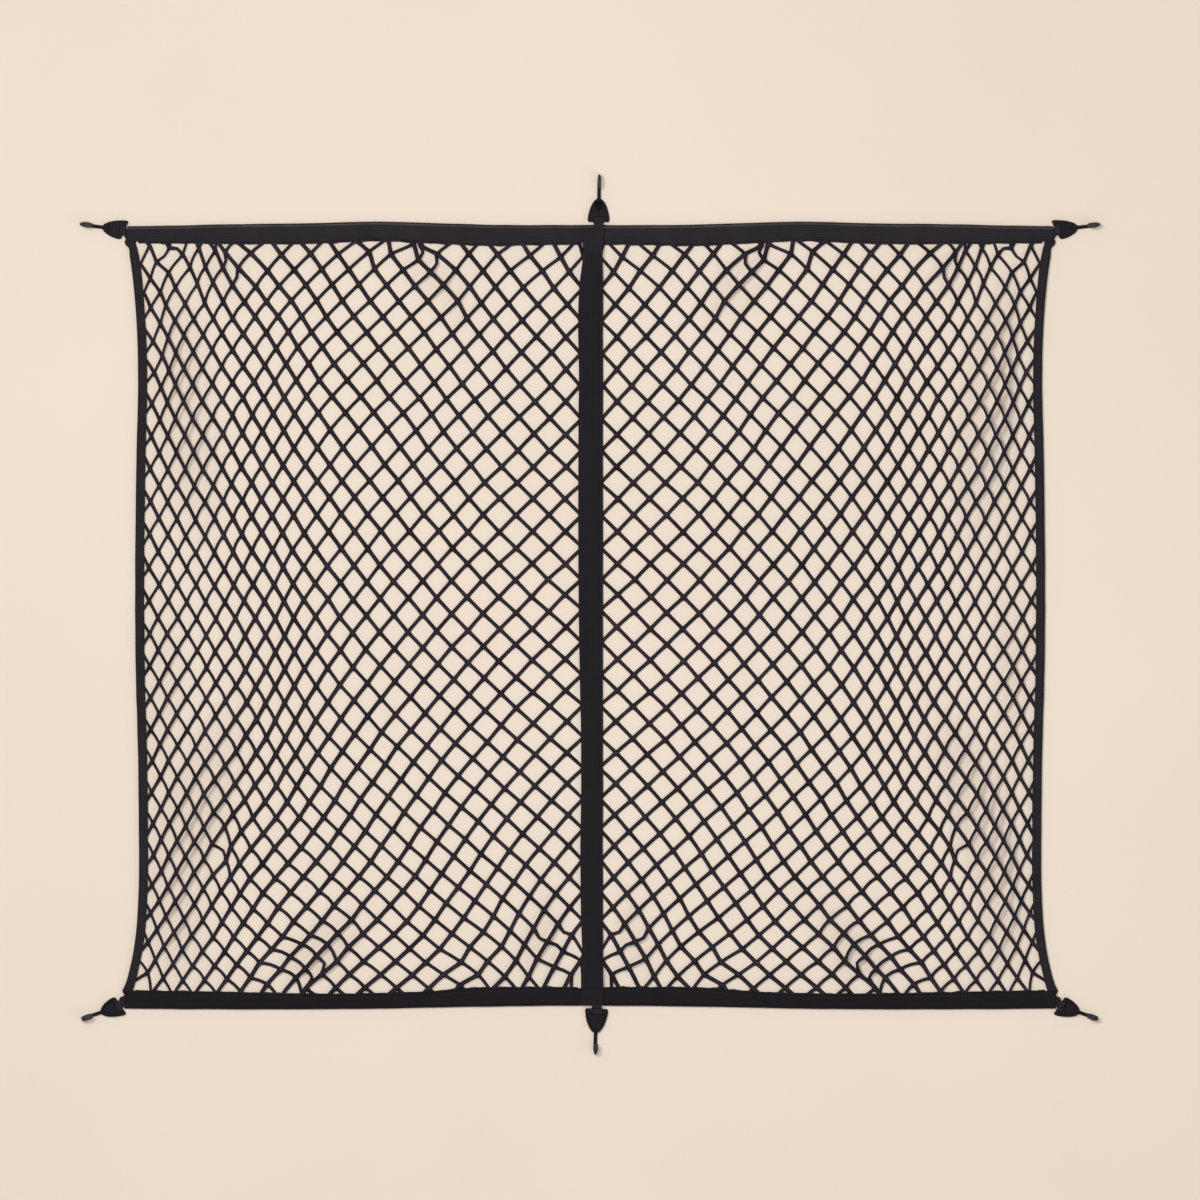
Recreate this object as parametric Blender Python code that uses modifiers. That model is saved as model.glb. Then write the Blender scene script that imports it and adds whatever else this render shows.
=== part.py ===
"""Luggage net laid flat: two diamond-mesh panels, folded webbing bands, side bindings, a centre strap, six hooks.

Units are metres and +Z is up. The net lies on z = 0 with its centre at the origin, X along the bands and Y up
the centre strap. Tables are in millimetres, as read with a rule, and MM turns them into metres.
"""
import math
from collections import namedtuple

import bmesh
import bpy
from mathutils import Matrix, Vector

MM = 0.001
CLEARANCE = 0.35         # between pieces that lie on each other

# ---- net panels -------------------------------------------------------------------------------------------
NET_THICKNESS = 3.0
BAR_WIDTH = 4.0          # width of the strands between two gaps
PITCH = 2                # columns and rows from bar to bar: the solid has every second strand
PITCHES = 24             # more than the panel has, each way, before it is clipped
FIRST_DOWN = -3.5        # column plus row, and column less row, of the first bars
FIRST_UP = -25.5
GAPS_PER_PANEL = 150
RIM_STRAP, RIM_BINDING, RIM_TOP, RIM_BOTTOM = -0.1, 18.0, -0.25, 23.72    # where the sewn rims end
SEEN_STRAP, SEEN_BINDING, SEEN_TOP, SEEN_BOTTOM = 0.25, 17.6, 0.2, 23.3   # where they come into sight
CORNER_CUT = 0.75        # columns and rows cut off the panel's two outer corners
BEND = 1.2               # a bar that strays further than this from a straight line is bent in its middle
STRAP_OFFSET = 1.3       # the strap's centre line lies this far to the right of the middle

# Where the crossings lie, counted in rows from the top band and in columns from the strap
Section = namedtuple("Section", "row strap col3 col6 col9 col12 col15 binding")
SECTION_COLUMNS = (0, 3, 6, 9, 12, 15, 18)
CROSSING_X = (
    Section(0.0, -6, -90, -167, -243, -324, -383, -445),
    Section(4.0, -9, -96, -178, -262, -327, -386, -435),
    Section(8.0, -8, -103, -188, -266, -329, -384, -437),
    Section(12.0, -8, -104, -191, -267, -326, -383, -438),
    Section(16.0, -7, -100, -186, -264, -325, -384, -435),
    Section(20.0, -7, -88, -169, -250, -330, -385, -434),
    Section(22.0, -7, -78, -161, -245, -322, -387, -439),
    Section(23.5, -7, -70, -157, -247, -316, -386, -445),
)
CROSSING_Y = (
    Section(0.0, 365, 366, 365, 366, 365, 365, 362),
    Section(4.0, 238, 240, 243, 244, 242, 239, 237),
    Section(8.0, 112, 113, 114, 113, 111, 108, 110),
    Section(12.0, -12, -15, -17, -19, -21, -20, -18),
    Section(16.0, -134, -139, -145, -151, -151, -144, -142),
    Section(20.0, -254, -261, -269, -269, -272, -267, -262),
    Section(22.0, -314, -322, -325, -324, -328, -327, -317),
    Section(23.5, -366, -368, -370, -372, -374, -372, -368),
)

# Slack that stands up from the surface: centre, half length, half width, lean from upright, height
Fold = namedtuple("Fold", "name x y half_length half_width lean lift")
FOLDS = (
    Fold("upper_side", -394, 205, 95, 22, 8, 15),
    Fold("lower_side", -420, -95, 75, 17, -6, 11),
    Fold("low_side", -386, -205, 80, 22, -20, 16),
    Fold("foot_side", -405, -300, 45, 22, 10, 9),
    Fold("top_outer", -352, 338, 28, 16, 12, 6),
    Fold("top_inner", -148, 325, 38, 17, 35, 9),
    Fold("bottom_outer", -262, -335, 48, 20, -40, 9),
    Fold("bottom_strap", -38, -320, 50, 22, -12, 7),
)
RIM_RUN = 45.0           # the net comes down from its sewn rims to the surface over this length
RIM_FLAT = 4.0           # beside a rim the net stays level for this length before a fold lifts it
STRAP_HALF = 12.0

# ---- webbing ----------------------------------------------------------------------------------------------
WEBBING = 1.2            # thickness of the woven bands, bindings and strap
FOLD_HEIGHT = 2 * (WEBBING + CLEARANCE) + NET_THICKNESS
FOLD_ROUND = 1.2         # rounding of a band's folded edge
STATION_STEP = 26.0      # length between two cross-sections

# A band's edges, by distance from the middle: the folded edge and the open edge that grips the net
BandEdge = namedtuple("BandEdge", "along folded open")
TOP_BAND = (
    BandEdge(0, 379.0, 362.0),
    BandEdge(63, 378.9, 361.0),
    BandEdge(92, 379.2, 360.4),
    BandEdge(151, 380.8, 362.6),
    BandEdge(206, 382.2, 365.0),
    BandEdge(268, 380.8, 362.6),
    BandEdge(355, 379.6, 362.2),
    BandEdge(414, 378.2, 362.6),
    BandEdge(450.1, 377.8, 362.8),
)
BOTTOM_BAND = (
    BandEdge(0, -380.3, -363.2),
    BandEdge(63, -380.7, -363.0),
    BandEdge(122, -381.6, -364.2),
    BandEdge(151, -382.2, -366.8),
    BandEdge(209, -383.4, -369.0),
    BandEdge(253, -383.7, -369.6),
    BandEdge(297, -383.9, -369.0),
    BandEdge(355, -383.9, -367.6),
    BandEdge(414, -383.6, -366.4),
    BandEdge(453.0, -383.1, -365.8),
)
BINDING_WIDTH = 8.8
BINDING_ENDS = (361.6, -364.8)
BINDING = (
    BandEdge(361.6, 451.0, None),
    BandEdge(329, 445.5, None),
    BandEdge(300, 442.4, None),
    BandEdge(271, 440.6, None),
    BandEdge(227, 439.7, None),
    BandEdge(154, 441.2, None),
    BandEdge(67, 442.4, None),
    BandEdge(-5, 442.5, None),
    BandEdge(-64, 441.8, None),
    BandEdge(-138, 439.7, None),
    BandEdge(-210, 438.9, None),
    BandEdge(-263, 439.0, None),
    BandEdge(-284, 439.9, None),
    BandEdge(-313, 442.1, None),
    BandEdge(-342, 447.3, None),
    BandEdge(-364.8, 453.0, None),
)
StrapEdge = namedtuple("StrapEdge", "y left right")
STRAP = (
    StrapEdge(379.6, -8.6, 14.2),
    StrapEdge(355, -7.6, 12.8),
    StrapEdge(325, -10.0, 12.5),
    StrapEdge(230, -11.0, 12.5),
    StrapEdge(130, -11.5, 12.5),
    StrapEdge(60, -11.5, 12.5),
    StrapEdge(-30, -10.6, 12.5),
    StrapEdge(-110, -9.0, 12.5),
    StrapEdge(-290, -9.0, 12.5),
    StrapEdge(-330, -8.0, 12.5),
    StrapEdge(-381.0, -9.4, 13.4),
)
STRAP_RISE = 26.0        # the strap climbs onto a band over this length
STRAP_LEVEL = 30.0       # and onto the net's rim over this length before it

# ---- hooks and tabs ---------------------------------------------------------------------------------------
# A hook's wide end, its heading and its reach, and how far its tab's sewn legs lie to its left
Hook = namedtuple("Hook", "name x y heading reach rimmed on_band leg_shift")
HOOKS = (
    Hook("top_left", -453.2, 374.0, 171.0, 43.0, False, False, 3.8),
    Hook("top_centre", 8.2, 382.4, 89.0, 45.6, False, True, 0.0),
    Hook("top_right", 453.4, 374.2, 8.0, 42.6, False, False, -3.6),
    Hook("bottom_left", -457.0, -380.4, 201.0, 39.5, True, False, -3.3),
    Hook("bottom_centre", 6.4, -383.9, -92.0, 43.8, True, True, 0.0),
    Hook("bottom_right", 456.8, -380.6, -20.0, 39.0, True, False, 3.5),
)
BODY_LENGTH = 23.2
BODY_WIDTH = 20.8
BODY_HEIGHT = 5.4
BODY_EDGE = 0.8
OUTLINE_STEPS = 9
RIM_WIDTH = 2.2
RIM_DEPTH = 0.9
BAR_LENGTH = 3.0         # the bar that the tab turns round, along the hook
BAR_BOTTOM = 1.5
BAR_TOP = 4.0
SLOT_LENGTH = 3.4
SLOT_WIDTH = 12.0
STEM_HEIGHT = 3.4        # of the hook's wire, seen from the side
STEM_FLOOR = 0.8
STEM_WIDTH = 3.3
LEAF_WIDTH = 5.3         # of the returning arm, seen from above
LEAF_LENGTH = 12.0
CURL_INSIDE = 2.2
CURL_STRAIGHT = 2.4
CURL_STEPS = 4
TAB_WIDTH = 10.8
TAB_THICKNESS = 1.0
TAB_LEG_WIDTH = 9.2      # the legs are drawn together where they are sewn
TAB_REACH = 12.0         # length of the tab's legs, sewn in the band or under the strap
TAB_TURN = 0.45          # cut of the tab's corners round the bar

MATERIALS = {
    "net_cord": ((0.018, 0.016, 0.020), 0.62),
    "band_webbing": ((0.020, 0.018, 0.022), 0.70),
    "binding_tape": ((0.022, 0.020, 0.024), 0.72),
    "strap_webbing": ((0.021, 0.020, 0.023), 0.66),
    "tab_webbing": ((0.016, 0.015, 0.017), 0.74),
    "hook_plastic": ((0.030, 0.028, 0.031), 0.42),
}


# ---- shared helpers ---------------------------------------------------------------------------------------
def clear_scene():
    """Remove what the scene holds, and make the collections for the parts and the cutters."""
    for obj in list(bpy.data.objects):
        bpy.data.objects.remove(obj, do_unlink=True)
    collections = {}
    for name in ("luggage_net", "cutters"):
        collections[name] = bpy.data.collections.new(name)
        bpy.context.scene.collection.children.link(collections[name])
    return collections


def make_material(name):
    """A Principled material with this part's colour and roughness."""
    color, roughness = MATERIALS[name]
    material = bpy.data.materials.new(name)
    material.use_nodes = True
    shader = material.node_tree.nodes["Principled BSDF"]
    shader.inputs["Base Color"].default_value = (*color, 1.0)
    shader.inputs["Roughness"].default_value = roughness
    shader.inputs["Metallic"].default_value = 0.0
    return material


def add_object(name, mesh, material, collection):
    """Link a mesh as a named object with one material."""
    if not mesh.materials:
        mesh.materials.append(material)
    mesh.shade_flat()
    obj = bpy.data.objects.new(name, mesh)
    collection.objects.link(obj)
    return obj


def mesh_from(work, name):
    """Turn a bmesh into a mesh and free it."""
    mesh = bpy.data.meshes.new(name)
    work.to_mesh(mesh)
    work.free()
    return mesh


def smooth_step(t):
    """0 below 0, 1 above 1, and an even curve between."""
    t = min(max(t, 0.0), 1.0)
    return t * t * (3.0 - 2.0 * t)


def curve_through(stations, values, at):
    """A smooth curve through the values at rising stations, straight on past its ends."""
    last = len(stations) - 1
    slopes = []
    for k in range(last + 1):
        before, after = max(k - 1, 0), min(k + 1, last)
        left = (values[k] - values[before]) / (stations[k] - stations[before]) if k > before else None
        right = (values[after] - values[k]) / (stations[after] - stations[k]) if after > k else None
        if left is None or right is None:
            slopes.append(right if left is None else left)
        else:
            near, far = stations[k] - stations[before], stations[after] - stations[k]
            slopes.append((left * far + right * near) / (near + far))
    k = 0
    while k < last - 1 and at > stations[k + 1]:
        k += 1
    length = stations[k + 1] - stations[k]
    t = (at - stations[k]) / length
    if t < 0.0:
        return values[k] + slopes[k] * length * t
    if t > 1.0:
        return values[k + 1] + slopes[k + 1] * length * (t - 1.0)
    return ((2 * t**3 - 3 * t**2 + 1) * values[k] + (t**3 - 2 * t**2 + t) * length * slopes[k]
            + (3 * t**2 - 2 * t**3) * values[k + 1] + (t**3 - t**2) * length * slopes[k + 1])


def solidify(obj, thickness, offset):
    """Give an open sheet its thickness."""
    shell = obj.modifiers.new("thickness", "SOLIDIFY")
    shell.thickness = thickness * MM
    shell.offset = offset
    shell.use_even_offset = True
    return shell


# ---- where the net lies -----------------------------------------------------------------------------------
def crossing(column, row):
    """X and Y, in millimetres, of a crossing of the left panel."""
    place = []
    for table in (CROSSING_X, CROSSING_Y):
        rows = [section.row for section in table]
        across = [curve_through(rows, [section[k + 1] for section in table], row)
                  for k in range(len(SECTION_COLUMNS))]
        place.append(curve_through(SECTION_COLUMNS, across, column))
    return place


def band_edge(band, x, which):
    """A band's folded or open edge, as Y, at a distance along it."""
    along = [edge.along for edge in band]
    return curve_through(along, [getattr(edge, which) for edge in band], abs(x))


def net_height(x, y):
    """How far the underside of the net stands above the surface, in millimetres."""
    rim = WEBBING + CLEARANCE
    to_top = band_edge(TOP_BAND, x, "open") - y
    to_bottom = y - band_edge(BOTTOM_BAND, x, "open")
    to_side = binding_edge(y) - BINDING_WIDTH - abs(x)
    to_strap = abs(x - STRAP_OFFSET) - STRAP_HALF
    near = smooth_step(1.0 - max(min(to_top, to_bottom, to_side), 0.0) / RIM_RUN)
    lift = 0.0
    for fold in FOLDS:
        lean = math.radians(fold.lean)
        dx, dy = -abs(x) - fold.x, y - fold.y
        along = dy * math.cos(lean) - dx * math.sin(lean)
        across = dx * math.cos(lean) + dy * math.sin(lean)
        ridge = math.exp(-((along / fold.half_length) ** 2 + (across / fold.half_width) ** 2))
        lift += fold.lift * ridge
    room = smooth_step((min(to_top, to_bottom, to_side, to_strap) - RIM_FLAT) / RIM_RUN * 1.6)
    return rim * near + lift * room


def binding_edge(y):
    """Distance of a side binding's outer edge from the middle."""
    rows = list(reversed(BINDING))
    return curve_through([edge.along for edge in rows], [edge.folded for edge in rows], y)


def right_hand(x):
    """Place of a left panel's point on the right panel, which mirrors it about the strap's centre."""
    return -x + 2 * STRAP_OFFSET * (1.0 - abs(x) / binding_edge(0.0))


# ---- pieces -----------------------------------------------------------------------------------------------
def place_on_net(column, row, side):
    """Point on the net's upper face for a column and row of the left or right panel."""
    x, y = crossing(column, row)
    if side > 0:
        x = right_hand(x)
    return Vector((x, y, net_height(x, y) + NET_THICKNESS)) * MM


def panel_cells(side):
    """The panel in columns and rows: diamonds between every second strand, clipped to the panel's rims."""
    work = bmesh.new()
    bmesh.ops.create_grid(work, x_segments=PITCHES, y_segments=PITCHES, size=PITCH * PITCHES / 2)
    for vert in work.verts:
        down = vert.co.x + PITCH * PITCHES / 2 + FIRST_DOWN
        up = vert.co.y + PITCH * PITCHES / 2 + FIRST_UP
        vert.co = ((down + up) / 2, (down - up) / 2, 0.0)
    cuts = [
        ((RIM_STRAP, 0, 0), (-1, 0, 0), True),
        ((RIM_BINDING, 0, 0), (1, 0, 0), True),
        ((0, RIM_TOP, 0), (0, -1, 0), True),
        ((0, RIM_BOTTOM, 0), (0, 1, 0), True),
        ((RIM_BINDING, RIM_TOP + CORNER_CUT, 0), (1, -1, 0), True),
        ((RIM_BINDING, RIM_BOTTOM - CORNER_CUT, 0), (1, 1, 0), True),
        ((SEEN_STRAP, 0, 0), (-1, 0, 0), False),
        ((SEEN_BINDING, 0, 0), (1, 0, 0), False),
        ((0, SEEN_TOP, 0), (0, -1, 0), False),
        ((0, SEEN_BOTTOM, 0), (0, 1, 0), False),
    ]
    for place, normal, clear in cuts:
        geometry = work.verts[:] + work.edges[:] + work.faces[:]
        bmesh.ops.bisect_plane(work, geom=geometry, dist=1e-5, plane_co=place, plane_no=normal, clear_outer=clear)
    for edge in work.edges[:]:
        first, second = edge.verts
        middle = (first.co + second.co) / 2
        ends = (place_on_net(*first.co.xy, side) + place_on_net(*second.co.xy, side)) / 2
        if (place_on_net(*middle.xy, side) - ends).length > BEND * MM:
            bmesh.utils.edge_split(edge, first, 0.5)
    return work


def build_panel(name, side, material, collection):
    """One net panel: a sheet that follows the folds, with its largest gaps cut through."""
    work = panel_cells(side)
    for vert in work.verts:
        vert.co = place_on_net(*vert.co.xy, side)
    work.normal_update()
    gaps = sorted(work.faces, key=lambda face: -face.calc_area())[:GAPS_PER_PANEL]
    bmesh.ops.inset_individual(work, faces=gaps, thickness=BAR_WIDTH / 2 * MM, use_even_offset=True)
    bmesh.ops.delete(work, geom=gaps, context="FACES")
    bmesh.ops.triangulate(work, faces=work.faces[:])
    bmesh.ops.recalc_face_normals(work, faces=work.faces[:])
    work.normal_update()
    if sum(face.normal.z for face in work.faces) < 0:
        bmesh.ops.reverse_faces(work, faces=work.faces[:])
    panel = add_object(name, mesh_from(work, name), material, collection)
    shell = solidify(panel, NET_THICKNESS, -1.0)
    shell.use_even_offset = False
    return panel


def folded_strip(name, stations, section, material, collection):
    """Webbing folded over the net: one open sheet bent along its length, then given its thickness."""
    work = bmesh.new()
    profile_points = len(section(stations[0]))
    bmesh.ops.create_grid(work, x_segments=len(stations) - 1, y_segments=profile_points - 1, size=0.5)
    work.verts.ensure_lookup_table()
    for vert in work.verts:
        i = round((vert.co.x + 0.5) * (len(stations) - 1))
        j = round((vert.co.y + 0.5) * (profile_points - 1))
        vert.co = Vector(section(stations[i])[j]) * MM
    bmesh.ops.recalc_face_normals(work, faces=work.faces[:])
    strip = add_object(name, mesh_from(work, name), material, collection)
    return strip


def spaced(start, end, step):
    """Evenly spaced stations from start to end, about a step apart."""
    count = max(1, round(abs(end - start) / step))
    return [start + (end - start) * k / count for k in range(count + 1)]


def fold_profile(folded, open_edge):
    """Points round a folded strip, as (across, height), from the lower open edge to the upper one."""
    inward = 1.0 if open_edge > folded else -1.0
    shoulder = folded + inward * FOLD_ROUND
    return [(open_edge, 0.0), (shoulder, 0.0), (folded, FOLD_ROUND), (folded, FOLD_HEIGHT - FOLD_ROUND),
            (shoulder, FOLD_HEIGHT), (open_edge, FOLD_HEIGHT)]


def build_band(name, band, material, collection):
    """A webbing band, folded along its outer edge over the net's rim."""
    end = band[-1].along

    def section(x):
        folded, open_edge = band_edge(band, x, "folded"), band_edge(band, x, "open")
        return [(x, y, z) for y, z in fold_profile(folded, open_edge)]

    strip = folded_strip(name, spaced(-end, end, STATION_STEP), section, material, collection)
    solidify(strip, WEBBING, -1.0 if outward(strip) else 1.0)
    return strip


def build_binding(name, side, material, collection):
    """A side binding: narrow tape folded over the net's outer edge, between the two bands."""

    def section(y):
        outer = binding_edge(y)
        return [(side * x, y, z) for x, z in fold_profile(outer, outer - BINDING_WIDTH)]

    strip = folded_strip(name, spaced(*BINDING_ENDS, STATION_STEP), section, material, collection)
    solidify(strip, WEBBING, -1.0 if outward(strip) else 1.0)
    return strip


def outward(strip):
    """Do the faces of a folded strip look out of its fold?"""
    top = max(strip.data.polygons, key=lambda face: face.center.z)
    return top.normal.z > 0


def strap_height(y):
    """Underside of the centre strap: on the net, and up over the tabs on the bands."""
    to_band = min(band_edge(TOP_BAND, 0, "open") - y, y - band_edge(BOTTOM_BAND, 0, "open"))
    on_rim = smooth_step(1.0 - (to_band - RIM_RUN) / STRAP_LEVEL)
    on_net = NET_THICKNESS + CLEARANCE + (WEBBING + CLEARANCE) * on_rim
    on_tab = FOLD_HEIGHT + 2 * (CLEARANCE + TAB_THICKNESS) + CLEARANCE
    rise = smooth_step(1.0 - (to_band - 2.0) / STRAP_RISE)
    return on_net + (on_tab - on_net) * rise


def build_strap(material, collection):
    """The centre strap: one length of webbing over both panels' rims and over both bands."""
    rows = list(reversed(STRAP))
    levels = [edge.y for edge in rows]
    stations = spaced(levels[0], levels[-1], STATION_STEP / 2)

    def section(y):
        left = curve_through(levels, [edge.left for edge in rows], y)
        right = curve_through(levels, [edge.right for edge in rows], y)
        return [(left, y, strap_height(y)), (right, y, strap_height(y))]

    strap = folded_strip("centre_strap", stations, section, material, collection)
    solidify(strap, WEBBING, 1.0 if strap.data.polygons[0].normal.z > 0 else -1.0)
    return strap


def body_outline():
    """Half ellipse towards the hook's tip, and a wide end with drawn-out corners."""
    points = []
    for k in range(OUTLINE_STEPS + 1):
        angle = math.pi / 2 - math.pi * k / OUTLINE_STEPS
        points.append((BODY_LENGTH * math.cos(angle), BODY_WIDTH / 2 * math.sin(angle)))
    points[0] = (1.2, BODY_WIDTH / 2)
    points[-1] = (1.2, -BODY_WIDTH / 2)
    corner = BODY_WIDTH / 2 - 1.6
    notch = SLOT_WIDTH / 2 + 0.6
    return points + [(-0.6, -corner), (0.0, -notch), (0.0, notch), (-0.6, corner)]


def flat_outline(name, points, height, collection):
    """A flat outline as a filled 2D curve, made a closed mesh from z = 0 to its height."""
    data = bpy.data.curves.new(name, "CURVE")
    data.dimensions = "2D"
    data.fill_mode = "BOTH"
    data.extrude = height / 2 * MM
    spline = data.splines.new("POLY")
    spline.points.add(len(points) - 1)
    for point, (x, y) in zip(spline.points, points):
        point.co = (x * MM, y * MM, 0.0, 1.0)
    spline.use_cyclic_u = True
    curve = bpy.data.objects.new(name, data)
    collection.objects.link(curve)
    bpy.context.view_layer.update()
    mesh = bpy.data.meshes.new_from_object(curve.evaluated_get(bpy.context.evaluated_depsgraph_get()))
    bpy.data.objects.remove(curve, do_unlink=True)
    work = bmesh.new()
    work.from_mesh(mesh)
    bmesh.ops.remove_doubles(work, verts=work.verts[:], dist=1e-6)
    bmesh.ops.recalc_face_normals(work, faces=work.faces[:])
    work.to_mesh(mesh)
    work.free()
    return mesh


def hook_profile(reach):
    """The hook's wire seen from the side: a stem, a curl and a returning arm, as (along, height)."""
    low = STEM_FLOOR
    inner_low = low + STEM_HEIGHT
    inner_high = inner_low + 2 * CURL_INSIDE + CURL_STRAIGHT
    outside = CURL_INSIDE + STEM_HEIGHT
    turn = reach - outside
    points = [(BODY_LENGTH - 3.0, low)]
    for k in range(CURL_STEPS + 1):
        angle = math.pi / 2 * k / CURL_STEPS
        points.append((turn + outside * math.sin(angle), low + outside * (1 - math.cos(angle))))
    for k in range(CURL_STEPS + 1):
        angle = math.pi / 2 * k / CURL_STEPS
        points.append((turn + outside * math.cos(angle), inner_high - CURL_INSIDE + outside * math.sin(angle)))
    tip = reach - LEAF_LENGTH
    points += [(tip + 1.6, inner_high + STEM_HEIGHT), (tip + 0.4, inner_high + STEM_HEIGHT * 0.75),
               (tip, inner_high + STEM_HEIGHT * 0.4), (tip + 0.9, inner_high)]
    for k in range(CURL_STEPS + 1):
        angle = math.pi / 2 * (1 - k / CURL_STEPS)
        points.append((turn + CURL_INSIDE * math.cos(angle), inner_high - CURL_INSIDE + CURL_INSIDE * math.sin(angle)))
    for k in range(CURL_STEPS + 1):
        angle = math.pi / 2 * k / CURL_STEPS
        points.append((turn + CURL_INSIDE * math.cos(angle), inner_low + CURL_INSIDE * (1 - math.sin(angle))))
    points.append((BODY_LENGTH - 3.0, inner_low))
    return points


def hook_wire(reach, collection):
    """The J of the hook: its side outline, given its width, which is greatest along the returning arm."""
    mesh = flat_outline("hook_wire", hook_profile(reach), STEM_WIDTH, collection)
    middle = STEM_FLOOR + STEM_HEIGHT + CURL_INSIDE
    for vert in mesh.vertices:
        along, height, across = vert.co
        rise = smooth_step((height / MM - middle) / (CURL_INSIDE + CURL_STRAIGHT))
        ends = math.cos(math.pi * (along / MM - reach + LEAF_LENGTH / 2) / (LEAF_LENGTH * 1.5))
        width = STEM_WIDTH + (LEAF_WIDTH - STEM_WIDTH) * rise * max(ends, 0.0)
        vert.co = (along, math.copysign(width / 2 * MM, -across), height)
    work = bmesh.new()
    work.from_mesh(mesh)
    bmesh.ops.triangulate(work, faces=work.faces[:])
    bmesh.ops.recalc_face_normals(work, faces=work.faces[:])
    work.to_mesh(mesh)
    work.free()
    return mesh


def add_cutter(name, mesh, collection):
    """A hidden shape that a Boolean takes away or joins."""
    cutter = bpy.data.objects.new(name, mesh)
    cutter.hide_render = True
    cutter.display_type = "WIRE"
    collection.objects.link(cutter)
    return cutter


def box_mesh(name, low, high):
    """A closed box between two corners in millimetres."""
    work = bmesh.new()
    bmesh.ops.create_cube(work, size=1.0)
    low, high = Vector(low) * MM, Vector(high) * MM
    for vert in work.verts:
        vert.co = (low + high) / 2 + Vector(a * b for a, b in zip(vert.co, high - low))
    return mesh_from(work, name)


def join_or_cut(obj, other, operation):
    """Add a Boolean with another closed mesh."""
    boolean = obj.modifiers.new(other.name, "BOOLEAN")
    boolean.operation = operation
    boolean.object = other


def build_hook(hook, material, collections):
    """A moulded hook: a spade-shaped body with a slot and a bar for the tab, and a J that stands upright."""
    parts, cutters = collections["luggage_net"], collections["cutters"]
    name = "hook_" + hook.name
    body = flat_outline(name, body_outline(), BODY_HEIGHT, cutters)
    for vert in body.vertices:
        vert.co.z += BODY_HEIGHT / 2 * MM
    obj = add_object(name, body, material, parts)
    place = Matrix.Translation((hook.x * MM, hook.y * MM, 0.0)) @ Matrix.Rotation(math.radians(hook.heading), 4, "Z")
    obj.matrix_world = place
    edge = obj.modifiers.new("edge", "BEVEL")
    edge.width = BODY_EDGE * MM
    edge.segments = 1
    edge.limit_method = "ANGLE"
    half = SLOT_WIDTH / 2
    slot = ((-5, -half, BAR_TOP), (BAR_LENGTH + 0.5, half, BODY_HEIGHT + 1))
    under = ((-5, -half, -1), (BAR_LENGTH + 0.5, half, BAR_BOTTOM))
    through = ((BAR_LENGTH, -half, -2), (BAR_LENGTH + SLOT_LENGTH, half, BODY_HEIGHT + 2))
    for label, (low, high) in (("over_bar", slot), ("under_bar", under), ("slot", through)):
        cutter = add_cutter(f"{name}_{label}", box_mesh(label, low, high), cutters)
        cutter.matrix_world = place
        join_or_cut(obj, cutter, "DIFFERENCE")
    if hook.rimmed:
        inner = [(BAR_LENGTH + SLOT_LENGTH - 0.5 + (BODY_LENGTH - RIM_WIDTH - BAR_LENGTH - SLOT_LENGTH)
                  * math.cos(angle), (BODY_WIDTH / 2 - RIM_WIDTH - 0.6) * math.sin(angle))
                 for angle in [math.pi / 2 - math.pi * k / OUTLINE_STEPS for k in range(OUTLINE_STEPS + 1)]]
        recess = flat_outline(name + "_recess", inner, 2.0, cutters)
        for vert in recess.vertices:
            vert.co.z += (BODY_HEIGHT - RIM_DEPTH + 1.0) * MM
        cutter = add_cutter(name + "_recess", recess, cutters)
        cutter.matrix_world = place
        join_or_cut(obj, cutter, "DIFFERENCE")
    wire = add_cutter(name + "_wire", hook_wire(hook.reach, cutters), cutters)
    wire.matrix_world = place
    join_or_cut(obj, wire, "UNION")
    return obj


def tab_path(on_band):
    """The tab seen from the side, as (along, height): in under the hook's bar, round it and back."""
    gap = CLEARANCE + TAB_THICKNESS
    half = TAB_THICKNESS / 2
    under = BAR_BOTTOM - CLEARANCE - half
    over = BAR_TOP + CLEARANCE + half
    front = BAR_LENGTH + CLEARANCE + half
    if on_band:
        lower = FOLD_HEIGHT + CLEARANCE + half
        down = [(-4.3, lower), (-3.2, lower - 0.5), (-2.6, lower - 1.5), (-2.3, under + 2.6), (-1.6, under + 1.0)]
        back = [(-0.9, over + 0.6), (-2.0, lower + gap - 0.9), (-3.4, lower + gap - 0.1)]
    else:
        lower = FOLD_HEIGHT / 2 - gap / 2
        down = [(-2.2, lower), (-1.4, (lower + under) / 2)]
        back = [(-1.8, (lower + gap + over) / 2), (-2.8, lower + gap)]
    legs = -(TAB_REACH + 4.0)
    return ([(legs, lower)] + down
            + [(-0.5, under), (front - TAB_TURN, under), (front, under + TAB_TURN),
               (front, over - TAB_TURN), (front - TAB_TURN, over), (-0.4, over)]
            + back + [(legs, lower + gap)])


def build_tab(hook, material, collection):
    """A short webbing tab, looped round the hook's bar with both legs sewn to the band."""
    path = tab_path(hook.on_band)

    def section(k):
        along, height = path[k]
        drawn = smooth_step(-(along + 0.6) / 2.0)
        half = (TAB_WIDTH + (TAB_LEG_WIDTH - TAB_WIDTH) * drawn) / 2
        middle = hook.leg_shift * drawn
        return [(along, middle - half, height), (along, middle + half, height)]

    tab = folded_strip("tab_" + hook.name, list(range(len(path))), section, material, collection)
    tab.matrix_world = (Matrix.Translation((hook.x * MM, hook.y * MM, 0.0))
                        @ Matrix.Rotation(math.radians(hook.heading), 4, "Z"))
    solidify(tab, TAB_THICKNESS, 0.0)
    return tab


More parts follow.
